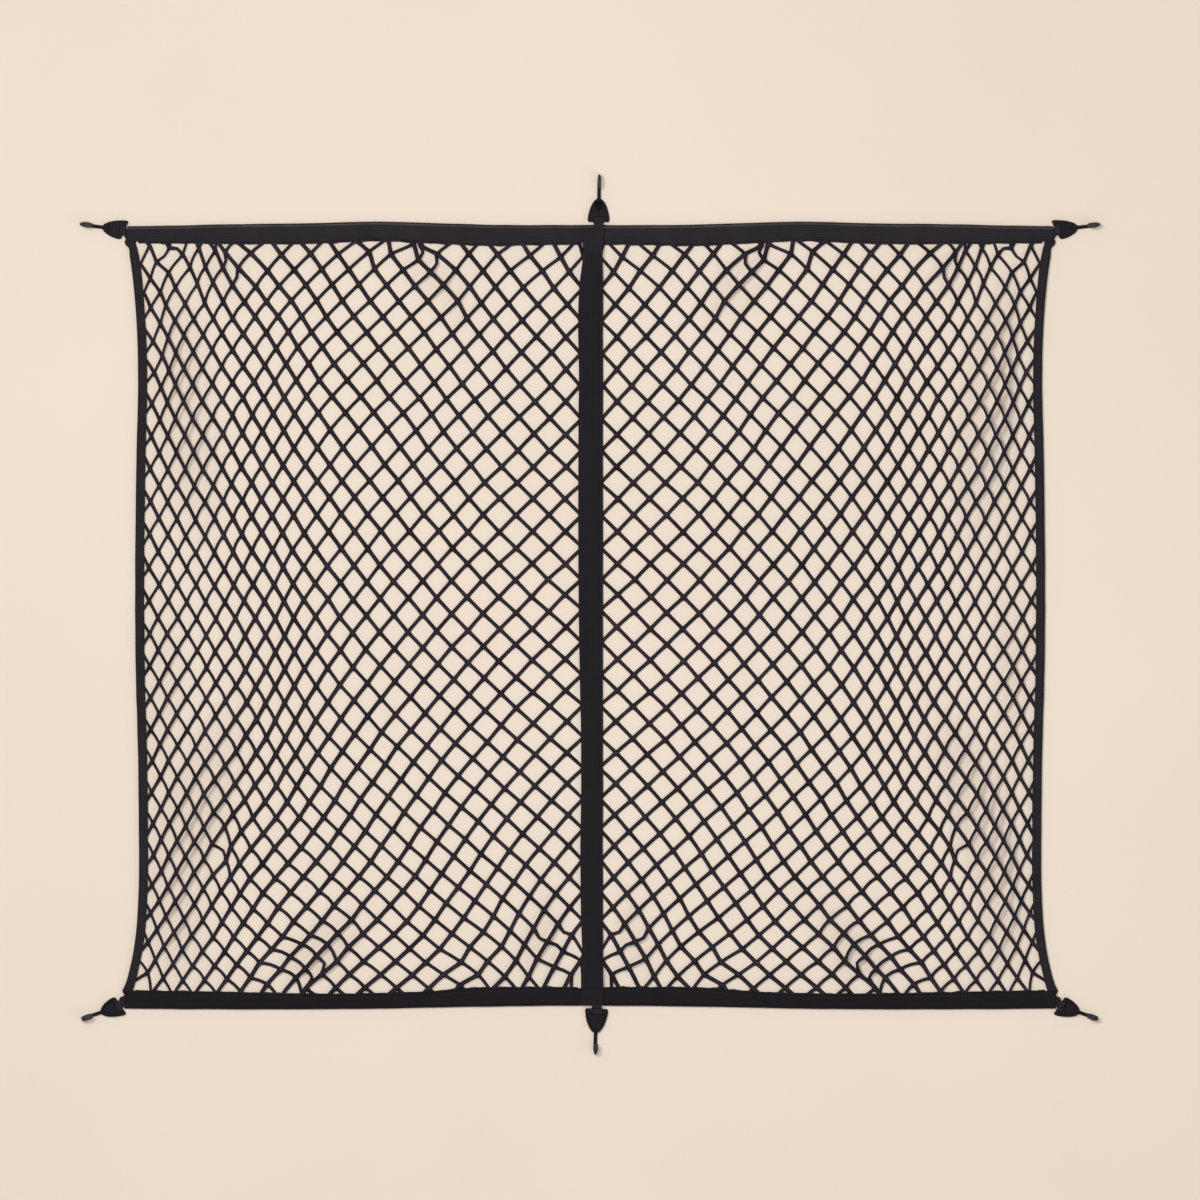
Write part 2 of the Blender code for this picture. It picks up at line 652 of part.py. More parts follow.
def main():
    """Build every piece of the net."""
    collections = clear_scene()
    parts = collections["luggage_net"]
    materials = {name: make_material(name) for name in MATERIALS}
    build_panel("net_left", -1, materials["net_cord"], parts)
    build_panel("net_right", 1, materials["net_cord"], parts)
    build_band("band_top", TOP_BAND, materials["band_webbing"], parts)
    build_band("band_bottom", BOTTOM_BAND, materials["band_webbing"], parts)
    build_binding("binding_left", -1, materials["binding_tape"], parts)
    build_binding("binding_right", 1, materials["binding_tape"], parts)
    build_strap(materials["strap_webbing"], parts)
    for hook in HOOKS:
        build_hook(hook, materials["hook_plastic"], collections)
        build_tab(hook, materials["tab_webbing"], parts)


main()
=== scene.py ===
"""Looks of the luggage net: cords, folded webbing, binding tape, sewn tabs, moulded hooks and the studio.

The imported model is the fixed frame. Tables are in millimetres, and MM turns them into metres. Those of the
crossings and of the strips' edges were measured on the photo by a program. X runs along the bands, Y up
the centre strap, and the net lies on z = 0.
"""
import logging
import math
from dataclasses import dataclass, field
from enum import Enum
from typing import Any, Callable, NamedTuple, Optional, Sequence

import bmesh
import bpy
from mathutils import Matrix, Vector, noise


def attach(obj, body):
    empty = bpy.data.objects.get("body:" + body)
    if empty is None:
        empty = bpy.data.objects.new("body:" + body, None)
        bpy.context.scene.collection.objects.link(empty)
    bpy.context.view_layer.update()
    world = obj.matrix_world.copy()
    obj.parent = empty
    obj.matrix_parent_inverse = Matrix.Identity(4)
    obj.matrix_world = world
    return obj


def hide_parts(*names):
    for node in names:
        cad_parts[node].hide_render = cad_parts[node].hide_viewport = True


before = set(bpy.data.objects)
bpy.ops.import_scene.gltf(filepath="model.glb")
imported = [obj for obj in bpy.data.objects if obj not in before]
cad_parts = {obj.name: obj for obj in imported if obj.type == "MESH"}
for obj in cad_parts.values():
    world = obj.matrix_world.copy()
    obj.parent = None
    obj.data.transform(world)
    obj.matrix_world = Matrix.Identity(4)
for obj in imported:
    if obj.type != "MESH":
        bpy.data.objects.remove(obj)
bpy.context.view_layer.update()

LOG = logging.getLogger("luggage_net")
MM = 0.001
SEED = 7
# thicknesses: air between layers, the net's rim inside a fold, webbing, a folded strip and a hook's tab
CLEARANCE = 0.35
NET_THICKNESS = 3.0
WEBBING = 1.2
FOLD_HEIGHT = 2 * (WEBBING + CLEARANCE) + NET_THICKNESS
TAB_THICKNESS = 1.0
# the strap: how far right of the net's middle it runs, half its width, and the runs in which it climbs
# from the free net to its rim and from there onto the tabs
STRAP_OFFSET = 1.3
STRAP_HALF = 12.0
STRAP_WIDTH = 23.0
STRAP_LEVEL = 30.0
STRAP_RISE = 26.0
# the net: the run in which it climbs into the bands, and the strip along its rims that stays free of folds
RIM_RUN = 45.0
RIM_FLAT = 4.0
# the side bindings: their width and where they meet the bands
BINDING_WIDTH = 8.8
BINDING_ENDS = (361.6, -364.8)
# the bar in a hook's wide end: its length along the hook and the heights of its under and upper face
BAR_LENGTH = 3.0
BAR_BOTTOM = 1.5
BAR_TOP = 4.0
# edges of webbing that bend more than this, in degrees, stay sharp
SHARP_EDGE = 60.0


class Side(Enum):
    """Which half of the net a piece belongs to."""

    LEFT = -1
    RIGHT = 1


class Slot(Enum):
    """Material slots of the record."""

    CORD = "net_cord"
    BAND = "band_webbing"
    BINDING = "binding_tape"
    STRAP = "strap_webbing"
    TAB = "tab_webbing"
    HOOK = "hook_plastic"


class HookFace(Enum):
    """Relief moulded into the upper face of a hook's body."""

    DIMPLED = "one dimple near the tip"
    FLUTED = "grooves that fan out from the tip"
    RIMMED = "sunk inside a raised rim"


class Section(NamedTuple):
    """A row of the net, counted from the top band, with the place of seven of its columns."""

    row: float
    strap: float
    col3: float
    col6: float
    col9: float
    col12: float
    col15: float
    binding: float


class Fold(NamedTuple):
    """Slack that stands up: centre, half length, half width, lean from upright and height."""

    name: str
    x: float
    y: float
    half_length: float
    half_width: float
    lean: float
    lift: float


class Pull(NamedTuple):
    """A place where the cords are drawn aside: its column and row, the shift, and the reach either way."""

    column: float
    row: float
    shift_x: float
    shift_y: float
    reach_columns: float = 0.4
    reach_rows: float = 0.4


class Slack(NamedTuple):
    """A spare length of cord between two crossings: its middle, its set, and how far it bulges."""

    column: float
    row: float
    leaning_down: bool
    bulge_x: float
    bulge_y: float


class BandEdge(NamedTuple):
    """A folded strip's two edges at a distance along it."""

    along: float
    folded: float
    open: float


class StrapEdge(NamedTuple):
    """The centre strap's left and right edge at a height."""

    y: float
    left: float
    right: float


class Hook(NamedTuple):
    """A hook's place on the net, with the shape that it has in its own axes.

    Attributes:
        name: Where on the net it is.
        x: Place of the middle of its wide end.
        y: The same, up the net.
        heading: Direction from the wide end to the curl, in degrees.
        reach: Length from the wide end to the outside of the curl.
        face: Relief of the body's upper face.
        on_band: Whether its tab's legs lie on a band, or else inside one.
        leg_shift: How far its tab's legs lie to its left.
        length: The body's length.
        width: The body's width at its wide end.
        slant: How far the body is sheared along itself, as a share of the distance to its left.
        leaf_width: Width of the arm that returns over the stem.
        leaf_length: Length of that arm.
        lean: How far the upright wire leans to the left, in degrees.
        point: Share of its width that the wire loses towards the curl.
    """

    name: str
    x: float
    y: float
    heading: float
    reach: float
    face: HookFace
    on_band: bool
    leg_shift: float
    length: float
    width: float
    slant: float
    leaf_width: float
    leaf_length: float
    lean: float
    point: float

    def placed(self, unit: float = 1.0) -> Matrix:
        """Turn from the hook's own axes to the net's, with one millimetre as long as the unit."""
        return (Matrix.Translation((self.x * unit, self.y * unit, 0.0))
                @ Matrix.Rotation(math.radians(self.heading), 4, "Z"))


class Lamp(NamedTuple):
    """A square soft light: its place and size in metres, its power in watts and its colour."""

    name: str
    place: tuple[float, float, float]
    size: float
    power: float
    colour: tuple[float, float, float]


# X and Y of the left panel's crossings: a row of the net each, fitted at seven columns from strap to binding
SECTION_COLUMNS = (0, 3, 6, 9, 12, 15, 18)
CROSSING_X = (
    Section(0.0, -6, -90, -167, -243, -324, -383, -445),
    Section(4.0, -9, -96, -178, -262, -327, -386, -435),
    Section(8.0, -8, -103, -188, -266, -329, -384, -437),
    Section(12.0, -8, -104, -191, -267, -326, -383, -438),
    Section(16.0, -7, -100, -186, -264, -325, -384, -435),
    Section(20.0, -7, -88, -169, -250, -330, -385, -434),
    Section(22.0, -7, -78, -161, -245, -322, -387, -439),
    Section(23.5, -7, -70, -157, -247, -316, -386, -445),
)
CROSSING_Y = (
    Section(0.0, 365, 366, 365, 366, 365, 365, 362),
    Section(4.0, 238, 240, 243, 244, 242, 239, 237),
    Section(8.0, 112, 113, 114, 113, 111, 108, 110),
    Section(12.0, -12, -15, -17, -19, -21, -20, -18),
    Section(16.0, -134, -139, -145, -151, -151, -144, -142),
    Section(20.0, -254, -261, -269, -269, -272, -267, -262),
    Section(22.0, -314, -322, -325, -324, -328, -327, -317),
    Section(23.5, -366, -367, -363.5, -363, -364, -371, -368),
)
# folds of the left panel; the right panel has the same ones mirrored
FOLDS = (
    Fold("upper_side", -394, 205, 95, 22, 8, 15),
    Fold("lower_side", -420, -95, 75, 17, -6, 11),
    Fold("low_side", -386, -205, 80, 22, -20, 16),
    Fold("foot_side", -405, -300, 45, 22, 10, 9),
    Fold("top_outer", -352, 338, 28, 16, 12, 6),
    Fold("top_inner", -148, 325, 38, 17, 35, 9),
    Fold("bottom_outer", -262, -335, 48, 20, -40, 9),
    Fold("bottom_strap", -38, -320, 50, 22, -12, 7),
)
# gathers of the left panel, first the wide ones, then single crossings
PULLS = (
    Pull(4.6, 1.9, 4.0, 1.0, 0.8, 0.8),
    Pull(17.3, 3.2, 4.0, -3.5, 0.8, 1.6),
    Pull(8.2, 22.0, -4.0, 0.0, 1.0, 1.2),
    Pull(3.5, 22.0, 4.5, 0.0, 0.9, 1.2),
    # under the top band, from the strap to the binding
    Pull(0.5, 0.0, 7.5, 0.0),
    Pull(1.5, 0.0, 9.0, 0.0),
    Pull(2.5, 0.0, 7.0, 0.0),
    Pull(1.0, 0.5, 5.7, -2.4),
    Pull(1.5, 1.0, 3.0, 0.0),
    Pull(2.0, 0.5, 3.5, -0.8),
    Pull(4.0, 0.5, -1.3, 0.5),
    Pull(5.0, 0.5, -5.5, 0.5),
    Pull(5.5, 0.0, -11.0, -5.5),
    Pull(6.5, 0.0, 8.3, -4.2),
    Pull(6.0, 0.5, 1.6, -4.0),
    Pull(5.5, 1.0, 1.4, -1.8),
    Pull(7.5, 0.0, 7.0, 0.0),
    Pull(8.0, 0.5, 3.9, 2.6),
    Pull(8.5, 0.0, 3.0, -1.5),
    Pull(12.0, 0.5, -4.8, 1.9),
    Pull(12.5, 0.0, -8.0, -1.0),
    Pull(12.5, 1.0, -5.6, 2.7),
    Pull(13.0, 0.5, -8.0, 2.2),
    Pull(13.0, 1.5, -1.0, 1.1),
    Pull(13.5, 0.0, -8.0, -2.5),
    Pull(13.5, 1.0, -0.5, 1.7),
    Pull(14.0, 0.5, 0.0, 3.0),
    Pull(14.0, 1.5, -1.3, 3.0),
    Pull(14.5, 1.0, -0.5, 3.2),
    Pull(15.0, 0.5, 2.5, 5.7),
    Pull(15.0, 1.5, 2.0, 2.9),
    Pull(15.5, 0.0, 5.0, 5.5),
    Pull(15.5, 1.0, 4.2, 3.2),
    Pull(16.0, 0.5, 6.9, 1.2),
    Pull(16.5, 0.0, 4.4, -6.8),
    Pull(16.5, 1.0, 3.0, 0.5),
    Pull(17.0, 0.5, 1.6, -4.0),
    Pull(17.0, 1.5, 2.5, -1.8),
    Pull(17.5, 0.0, 5.5, -3.0),
    Pull(17.5, 1.0, 3.6, -3.7),
    Pull(18.0, 0.5, 5.9, -4.7),
    Pull(18.0, 1.5, 5.6, -1.3),
    # low on the side
    Pull(13.5, 18.0, 2.9, 2.4),
    Pull(13.5, 19.0, 4.9, 0.5),
    # over the bottom band, from the binding to the strap
    Pull(17.5, 23.0, 4.6, 3.7),
    Pull(18.0, 23.5, 1.0, 10.0),
    Pull(17.5, 23.5, -5.5, 0.0),
    Pull(12.0, 22.5, -1.5, 1.0),
    Pull(12.0, 23.5, 1.5, 4.0),
    Pull(11.5, 22.0, 0.0, 1.0),
    Pull(11.5, 23.0, 5.0, 5.0),
    Pull(11.0, 22.5, 4.0, 5.5),
    Pull(11.0, 23.5, 8.0, 8.5),
    Pull(10.5, 22.0, 3.5, 4.5),
    Pull(10.5, 23.0, 6.5, 5.5),
    Pull(10.0, 22.5, 5.0, 5.0),
    Pull(10.0, 23.5, -5.0, 0.0),
    Pull(9.5, 22.0, 3.5, 3.0),
    Pull(9.5, 23.0, -1.5, 1.0),
    Pull(9.0, 21.5, 2.0, 0.0),
    Pull(8.5, 21.0, 3.2, 0.0),
    Pull(5.5, 23.0, 1.3, 1.0),
    Pull(5.0, 22.5, 5.4, 0.7),
    Pull(5.0, 23.5, 0.0, 4.0),
    Pull(4.5, 23.0, 5.0, 1.5),
    Pull(1.5, 23.0, 3.0, 7.0),
    Pull(1.0, 22.5, 2.0, 5.0),
    Pull(1.0, 23.5, 8.0, 14.0),
    Pull(0.5, 22.0, 1.0, 4.0),
    Pull(0.5, 23.0, 7.5, 11.0),
)
# cords that stand out between two crossings
SLACKS = (
    Slack(5.75, 0.25, False, 3.6, 0.0),
    Slack(5.25, 0.75, False, 3.4, -0.6),
    Slack(12.75, 1.25, False, 2.6, -1.0),
    Slack(13.25, 0.75, False, 2.4, 0.0),
    Slack(16.25, 0.25, True, 1.0, 2.6),
    Slack(16.75, 0.25, False, 1.0, -1.6),
    Slack(10.25, 23.25, True, 5.0, 0.5),
    Slack(9.75, 22.75, True, 4.2, 1.6),
    Slack(0.75, 21.75, True, -1.6, -2.6),
    Slack(1.75, 21.75, True, -1.6, -2.6),
    Slack(1.25, 22.25, True, 1.6, 1.6),
    Slack(13.75, 18.75, True, 2.4, 1.2),
)
# the bands' folded and open edges, as heights at a distance from the net's middle
TOP_BAND = (
    BandEdge(0, 379.0, 362.0),
    BandEdge(63, 378.9, 361.0),
    BandEdge(92, 379.2, 360.4),
    BandEdge(151, 380.8, 362.6),
    BandEdge(206, 382.2, 365.0),
    BandEdge(268, 380.8, 362.6),
    BandEdge(355, 379.6, 362.2),
    BandEdge(414, 378.2, 362.6),
    BandEdge(450.1, 377.8, 362.8),
)
BOTTOM_BAND = (
    BandEdge(0, -380.3, -363.2),
    BandEdge(63, -380.7, -363.0),
    BandEdge(122, -381.6, -364.2),
    BandEdge(151, -382.2, -366.8),
    BandEdge(209, -383.4, -369.0),
    BandEdge(253, -383.7, -369.6),
    BandEdge(297, -383.9, -369.0),
    BandEdge(355, -383.9, -367.6),
    BandEdge(414, -383.6, -366.4),
    BandEdge(453.0, -383.1, -365.8),
)
# the bindings' folded and open edges, as distances from the net's middle at a height
BINDING = (
    BandEdge(-372, 451.0, 442.0),
    BandEdge(-366.5, 455.0, 444.6),
    BandEdge(-361, 452.6, 443.2),
    BandEdge(-342, 447.3, 438.5),
    BandEdge(-313, 442.1, 433.3),
    BandEdge(-284, 439.9, 431.1),
    BandEdge(-263, 439.0, 430.2),
    BandEdge(-210, 438.9, 430.1),
    BandEdge(-138, 439.7, 430.9),
    BandEdge(-64, 441.8, 433.0),
    BandEdge(-5, 442.5, 433.7),
    BandEdge(67, 442.4, 433.6),
    BandEdge(154, 441.2, 432.4),
    BandEdge(227, 439.7, 430.9),
    BandEdge(271, 440.6, 431.8),
    BandEdge(300, 442.4, 433.6),
    BandEdge(329, 445.0, 436.0),
    BandEdge(349, 448.0, 438.8),
    BandEdge(357.5, 449.4, 440.6),
    BandEdge(360.5, 452.6, 441.6),
    BandEdge(363, 452.6, 441.8),
    BandEdge(368, 449.5, 441.0),
)
STRAP = (
    StrapEdge(-379.0, -9.4, 13.4),
    StrapEdge(-330, -8.0, 12.5),
    StrapEdge(-290, -9.0, 12.5),
    StrapEdge(-110, -9.0, 12.5),
    StrapEdge(-30, -10.6, 12.5),
    StrapEdge(60, -11.5, 12.5),
    StrapEdge(130, -11.5, 12.5),
    StrapEdge(230, -11.0, 12.5),
    StrapEdge(325, -10.0, 12.5),
    StrapEdge(352, -6.8, 12.2),
    StrapEdge(376.0, -8.6, 14.2),
)
HOOKS = (
    Hook("top_left", -453.2, 374.0, 172.5, 43.0, HookFace.DIMPLED, False, 3.8,
         21.6, 19.2, -0.28, 5.2, 13.0, 0.0, 0.35),
    Hook("top_centre", 8.2, 382.4, 89.0, 45.6, HookFace.FLUTED, True, 0.0,
         22.6, 21.4, 0.0, 3.4, 14.0, 0.0, 0.5),
    Hook("top_right", 453.4, 374.2, 6.5, 42.6, HookFace.DIMPLED, False, -3.6,
         21.2, 19.4, 0.34, 5.2, 13.0, 0.0, 0.35),
    Hook("bottom_left", -457.0, -380.4, 199.0, 39.5, HookFace.RIMMED, False, -3.3,
         20.2, 20.0, 0.26, 5.6, 12.0, 0.0, 0.1),
    Hook("bottom_centre", 6.4, -383.9, -92.5, 43.8, HookFace.RIMMED, True, 0.0,
         23.3, 22.6, 0.0, 4.2, 11.5, 5.0, 0.6),
    Hook("bottom_right", 456.8, -380.6, -18.5, 39.0, HookFace.RIMMED, False, 3.5,
         20.2, 20.0, -0.26, 5.6, 12.0, 0.0, 0.1),
)


def smooth_step(t: float) -> float:
    """0 below 0, 1 above 1, and an even curve between.

    Args:
        t: Share of the way.

    Returns:
        The eased share.
    """
    t = min(max(t, 0.0), 1.0)
    return t * t * (3.0 - 2.0 * t)


def curve_through(stations: Sequence[float], values: Sequence[float], at: float) -> float:
    """A smooth curve through the values at rising stations, straight on past its ends.

    Args:
        stations: Rising places along the curve.
        values: The curve's value at each station.
        at: Where the curve is read.

    Returns:
        The curve's value there.
    """
    last = len(stations) - 1
    k = 0
    while k < last - 1 and at > stations[k + 1]:
        k += 1

    def slope(i: int) -> float:
        """Slope at a station, weighted by its neighbours' distances.

        Args:
            i: The station's number.

        Returns:
            The slope.
        """
        near = (values[i] - values[i - 1]) / (stations[i] - stations[i - 1]) if i > 0 else None
        far = (values[i + 1] - values[i]) / (stations[i + 1] - stations[i]) if i < last else None
        if near is None or far is None:
            return far if near is None else near
        before, after = stations[i] - stations[i - 1], stations[i + 1] - stations[i]
        return (near * after + far * before) / (before + after)

    length = stations[k + 1] - stations[k]
    t = (at - stations[k]) / length
    if t < 0.0:
        return values[k] + slope(k) * length * t
    if t > 1.0:
        return values[k + 1] + slope(k + 1) * length * (t - 1.0)
    first, leaving, second, arriving = hermite(t)
    return (first * values[k] + leaving * length * slope(k)
            + second * values[k + 1] + arriving * length * slope(k + 1))


def spaced(start: float, end: float, step: float) -> list[float]:
    """Evenly spaced stations from start to end, about a step apart."""
    count = max(1, round(abs(end - start) / step))
    return [start + (end - start) * k / count for k in range(count + 1)]


def running_lengths(points: Sequence[Vector], closed: bool = False) -> list[float]:
    """Lengths run along a line of points.

    Args:
        points: The line's points.
        closed: Whether the line runs back to its first point.

    Returns:
        The length at each point, and once more at the first point of a closed line.
    """
    line = [Vector(point) for point in points]
    lengths = [0.0]
    for start, end in zip(line, line[1:] + line[:1] if closed else line[1:]):
        lengths.append(lengths[-1] + (end - start).length)
    return lengths


def hermite(t: float) -> tuple[float, float, float, float]:
    """Shares of a smooth span at t: first value, first slope, second value and second slope."""
    return 2 * t**3 - 3 * t**2 + 1, t**3 - 2 * t**2 + t, 3 * t**2 - 2 * t**3, t**3 - t**2


def band_edge(band: Sequence[BandEdge], x: float, which: str) -> float:
    """A band's folded or open edge at a distance along it, the same on both sides of its middle."""
    return curve_through([edge.along for edge in band], [getattr(edge, which) for edge in band], abs(x))


def binding_edge(y: float) -> float:
    """Distance of a side binding's outer edge from the middle."""
    return curve_through([edge.along for edge in BINDING], [edge.folded for edge in BINDING], y)


def strap_height(y: float) -> float:
    """Underside of the centre strap: on the net, and up over the tabs on the bands.

    Args:
        y: Height up the net.

    Returns:
        How far the strap's underside stands above the surface.
    """
    to_band = min(band_edge(TOP_BAND, 0, "open") - y, y - band_edge(BOTTOM_BAND, 0, "open"))
    on_rim = smooth_step(1.0 - (to_band - RIM_RUN) / STRAP_LEVEL)
    on_net = NET_THICKNESS + CLEARANCE + (WEBBING + CLEARANCE) * on_rim
    on_tab = FOLD_HEIGHT + 2 * (CLEARANCE + TAB_THICKNESS) + CLEARANCE
    rise = smooth_step(1.0 - (to_band - 2.0) / STRAP_RISE)
    return on_net + (on_tab - on_net) * rise


# ---- materials --------------------------------------------------------------------------------------------
class NodeBoard:
    """A material's node tree, filled in short calls."""

    def __init__(self, name: str) -> None:
        """Start an empty material with its output and a Principled shader.

        Args:
            name: The material's name.
        """
        self.material = bpy.data.materials.new(name)
        self.material.use_nodes = True
        self.tree = self.material.node_tree
        self.shader = self.tree.nodes["Principled BSDF"]

    def add(self, kind: str, inputs: Optional[dict[Any, Any]] = None, **settings: Any) -> bpy.types.Node:
        """Add a node.

        Args:
            kind: The node's type without its "ShaderNode" prefix.
            inputs: Socket name or number to a value, or to the output socket to link.
            settings: The node's own properties.

        Returns:
            The new node.
        """
        node = self.tree.nodes.new("ShaderNode" + kind)
        for key, value in settings.items():
            setattr(node, key, value)
        for key, value in (inputs or {}).items():
            self.feed(node.inputs[key], value)
        return node

    def feed(self, socket: bpy.types.NodeSocket, value: Any) -> None:
        """Link an output socket to an input, or set the input's own value.

        Args:
            socket: The input.
            value: The output socket to link, or the value to set.
        """
        if isinstance(value, bpy.types.NodeSocket):
            self.tree.links.new(value, socket)
        else:
            socket.default_value = value

    def math(self, operation: str, *values: Any) -> bpy.types.NodeSocket:
        """The result of a Math node."""
        return self.add("Math", dict(enumerate(values)), operation=operation).outputs[0]

    def wave(self, value: Any, per_turn: float, shift: Any = 0.0) -> bpy.types.NodeSocket:
        """A sine from -1 to 1 that repeats once each per_turn."""
        angle = self.math("MULTIPLY_ADD", value, 2 * math.pi / per_turn, shift)
        return self.math("SINE", angle)

    def blend(self, amount: Any, first: Any, second: Any) -> bpy.types.NodeSocket:
        """A colour between two colours.

        Args:
            amount: Share of the second colour.
            first: Red, green and blue, or the output socket of a colour.
            second: The same for the second colour.

        Returns:
            The mixed colour.
        """
        mix = self.add("Mix", {"Factor": amount}, data_type="RGBA")
        for number, colour in ((6, first), (7, second)):
            self.feed(mix.inputs[number], (*colour, 1.0) if isinstance(colour, tuple) else colour)
        return mix.outputs[2]

    def object_axis(self, axis: int) -> bpy.types.NodeSocket:
        """The object's own X, Y or Z, for axis 0, 1 or 2."""
        return self.add("SeparateXYZ", {0: self.add("TexCoord").outputs["Object"]}).outputs[axis]

    def rise(self, value: Any, low: float, high: float) -> bpy.types.NodeSocket:
        """0 up to the low value, 1 from the high one, and an even curve between."""
        limits = {"Value": value, "From Min": low, "From Max": high}
        return self.add("MapRange", limits, interpolation_type="SMOOTHSTEP").outputs[0]

    def noise(self, scale: float, detail: float = 3.0) -> bpy.types.NodeSocket:
        """A noise from 0 to 1 in the object's own coordinates."""
        where = self.add("TexCoord").outputs["Object"]
        return self.add("TexNoise", {"Vector": where, "Scale": scale, "Detail": detail}).outputs["Fac"]

    def weave_axes(self) -> tuple[bpy.types.NodeSocket, bpy.types.NodeSocket]:
        """Across and along, as the piece's own map gives them."""
        split = self.add("SeparateXYZ", {0: self.add("UVMap", uv_map="weave").outputs[0]})
        return split.outputs[0], split.outputs[1]

    def bump(self, height: Any, distance: float, strength: float = 1.0,
             base: Optional[bpy.types.NodeSocket] = None) -> bpy.types.NodeSocket:
        """A bump of the surface's normal.

        Args:
            height: Relief from 0 to 1.
            distance: Depth of the relief, in metres.
            strength: Share of the bump that shows.
            base: A bump that this one lies on.

        Returns:
            The bumped normal.
        """
        inputs = {"Height": height, "Distance": distance, "Strength": strength}
        if base is not None:
            inputs["Normal"] = base
        return self.add("Bump", inputs).outputs[0]

    def finish(self, colour: Any, roughness: Any, normal: Any, gloss: float, sheen: float = 0.0,
               sheen_roughness: float = 0.4) -> bpy.types.Material:
        """Dress the shader.

        Args:
            colour: Output socket of the base colour.
            roughness: Output socket of the roughness.
            normal: Output socket of the bumped normal.
            gloss: Specular level, the same all over.
            sheen: Weight of the fibres' sheen, the same all over.
            sheen_roughness: How soft the sheen is.

        Returns:
            The finished material.
        """
        for name, value in (("Base Color", colour), ("Roughness", roughness), ("Normal", normal),
                            ("Specular IOR Level", gloss)):
            self.feed(self.shader.inputs[name], value)
        if sheen:
            self.shader.inputs["Sheen Weight"].default_value = sheen
            self.shader.inputs["Sheen Roughness"].default_value = sheen_roughness
        return self.material


@dataclass(frozen=True)
class CordFinish:
    """Braided cord: two sets of strands crossing round it, dark in the grooves and with a painted highlight
    along its upper side.

    Attributes:
        name: The material's name.
        dark: Colour in the grooves.
        light: Colour of the strands' ridges under the painted highlight along the cord's top.
        strands: Strands round the cord, each way.
        roughness: Least roughness.
        gloss: Specular level.
        sheen: Weight of the fibres' sheen.
        patches: Scale of the rubbed patches.
        fibres: Scale of the fibres.
        relief: Depth of the braid, in metres.
    """

    name: str
    dark: tuple[float, float, float] = (0.0022, 0.0014, 0.0024)
    light: tuple[float, float, float] = (0.052, 0.041, 0.054)
    strands: int = 4
    roughness: float = 0.48
    gloss: float = 0.06
    sheen: float = 0.012
    patches: float = 55.0
    fibres: float = 2600.0
    relief: float = 0.00016

    def make(self) -> bpy.types.Material:
        """Build the material; its map runs once round the cord and in braid repeats along it.

        Returns:
            The material.
        """
        board = NodeBoard(self.name)
        around, along = board.weave_axes()
        turn = board.math("MULTIPLY", around, float(self.strands))
        right = board.wave(board.math("ADD", along, turn), 1.0)
        left = board.wave(board.math("SUBTRACT", along, turn), 1.0)
        braid = board.math("MAXIMUM", right, left)
        patch = board.noise(self.patches)
        # painted highlight: the cord is paler along its top and darker at its sides, as light from above
        # would show it
        upper = board.math("MULTIPLY_ADD", board.wave(around, 1.0), 0.5, 0.5)
        paler_top = board.math("MULTIPLY_ADD", board.math("POWER", upper, 4.0), 1.25, 0.05)
        tone = board.math("MULTIPLY", board.math("MULTIPLY_ADD", braid, 0.4, 0.6), patch)
        colour = board.blend(board.math("MULTIPLY", tone, paler_top), self.dark, self.light)
        rough = board.math("MULTIPLY_ADD", patch, 0.25, self.roughness)
        fibre = board.bump(board.noise(self.fibres, 2.0), 0.00006)
        return board.finish(colour, rough, board.bump(braid, self.relief, 0.9, fibre), self.gloss, self.sheen)


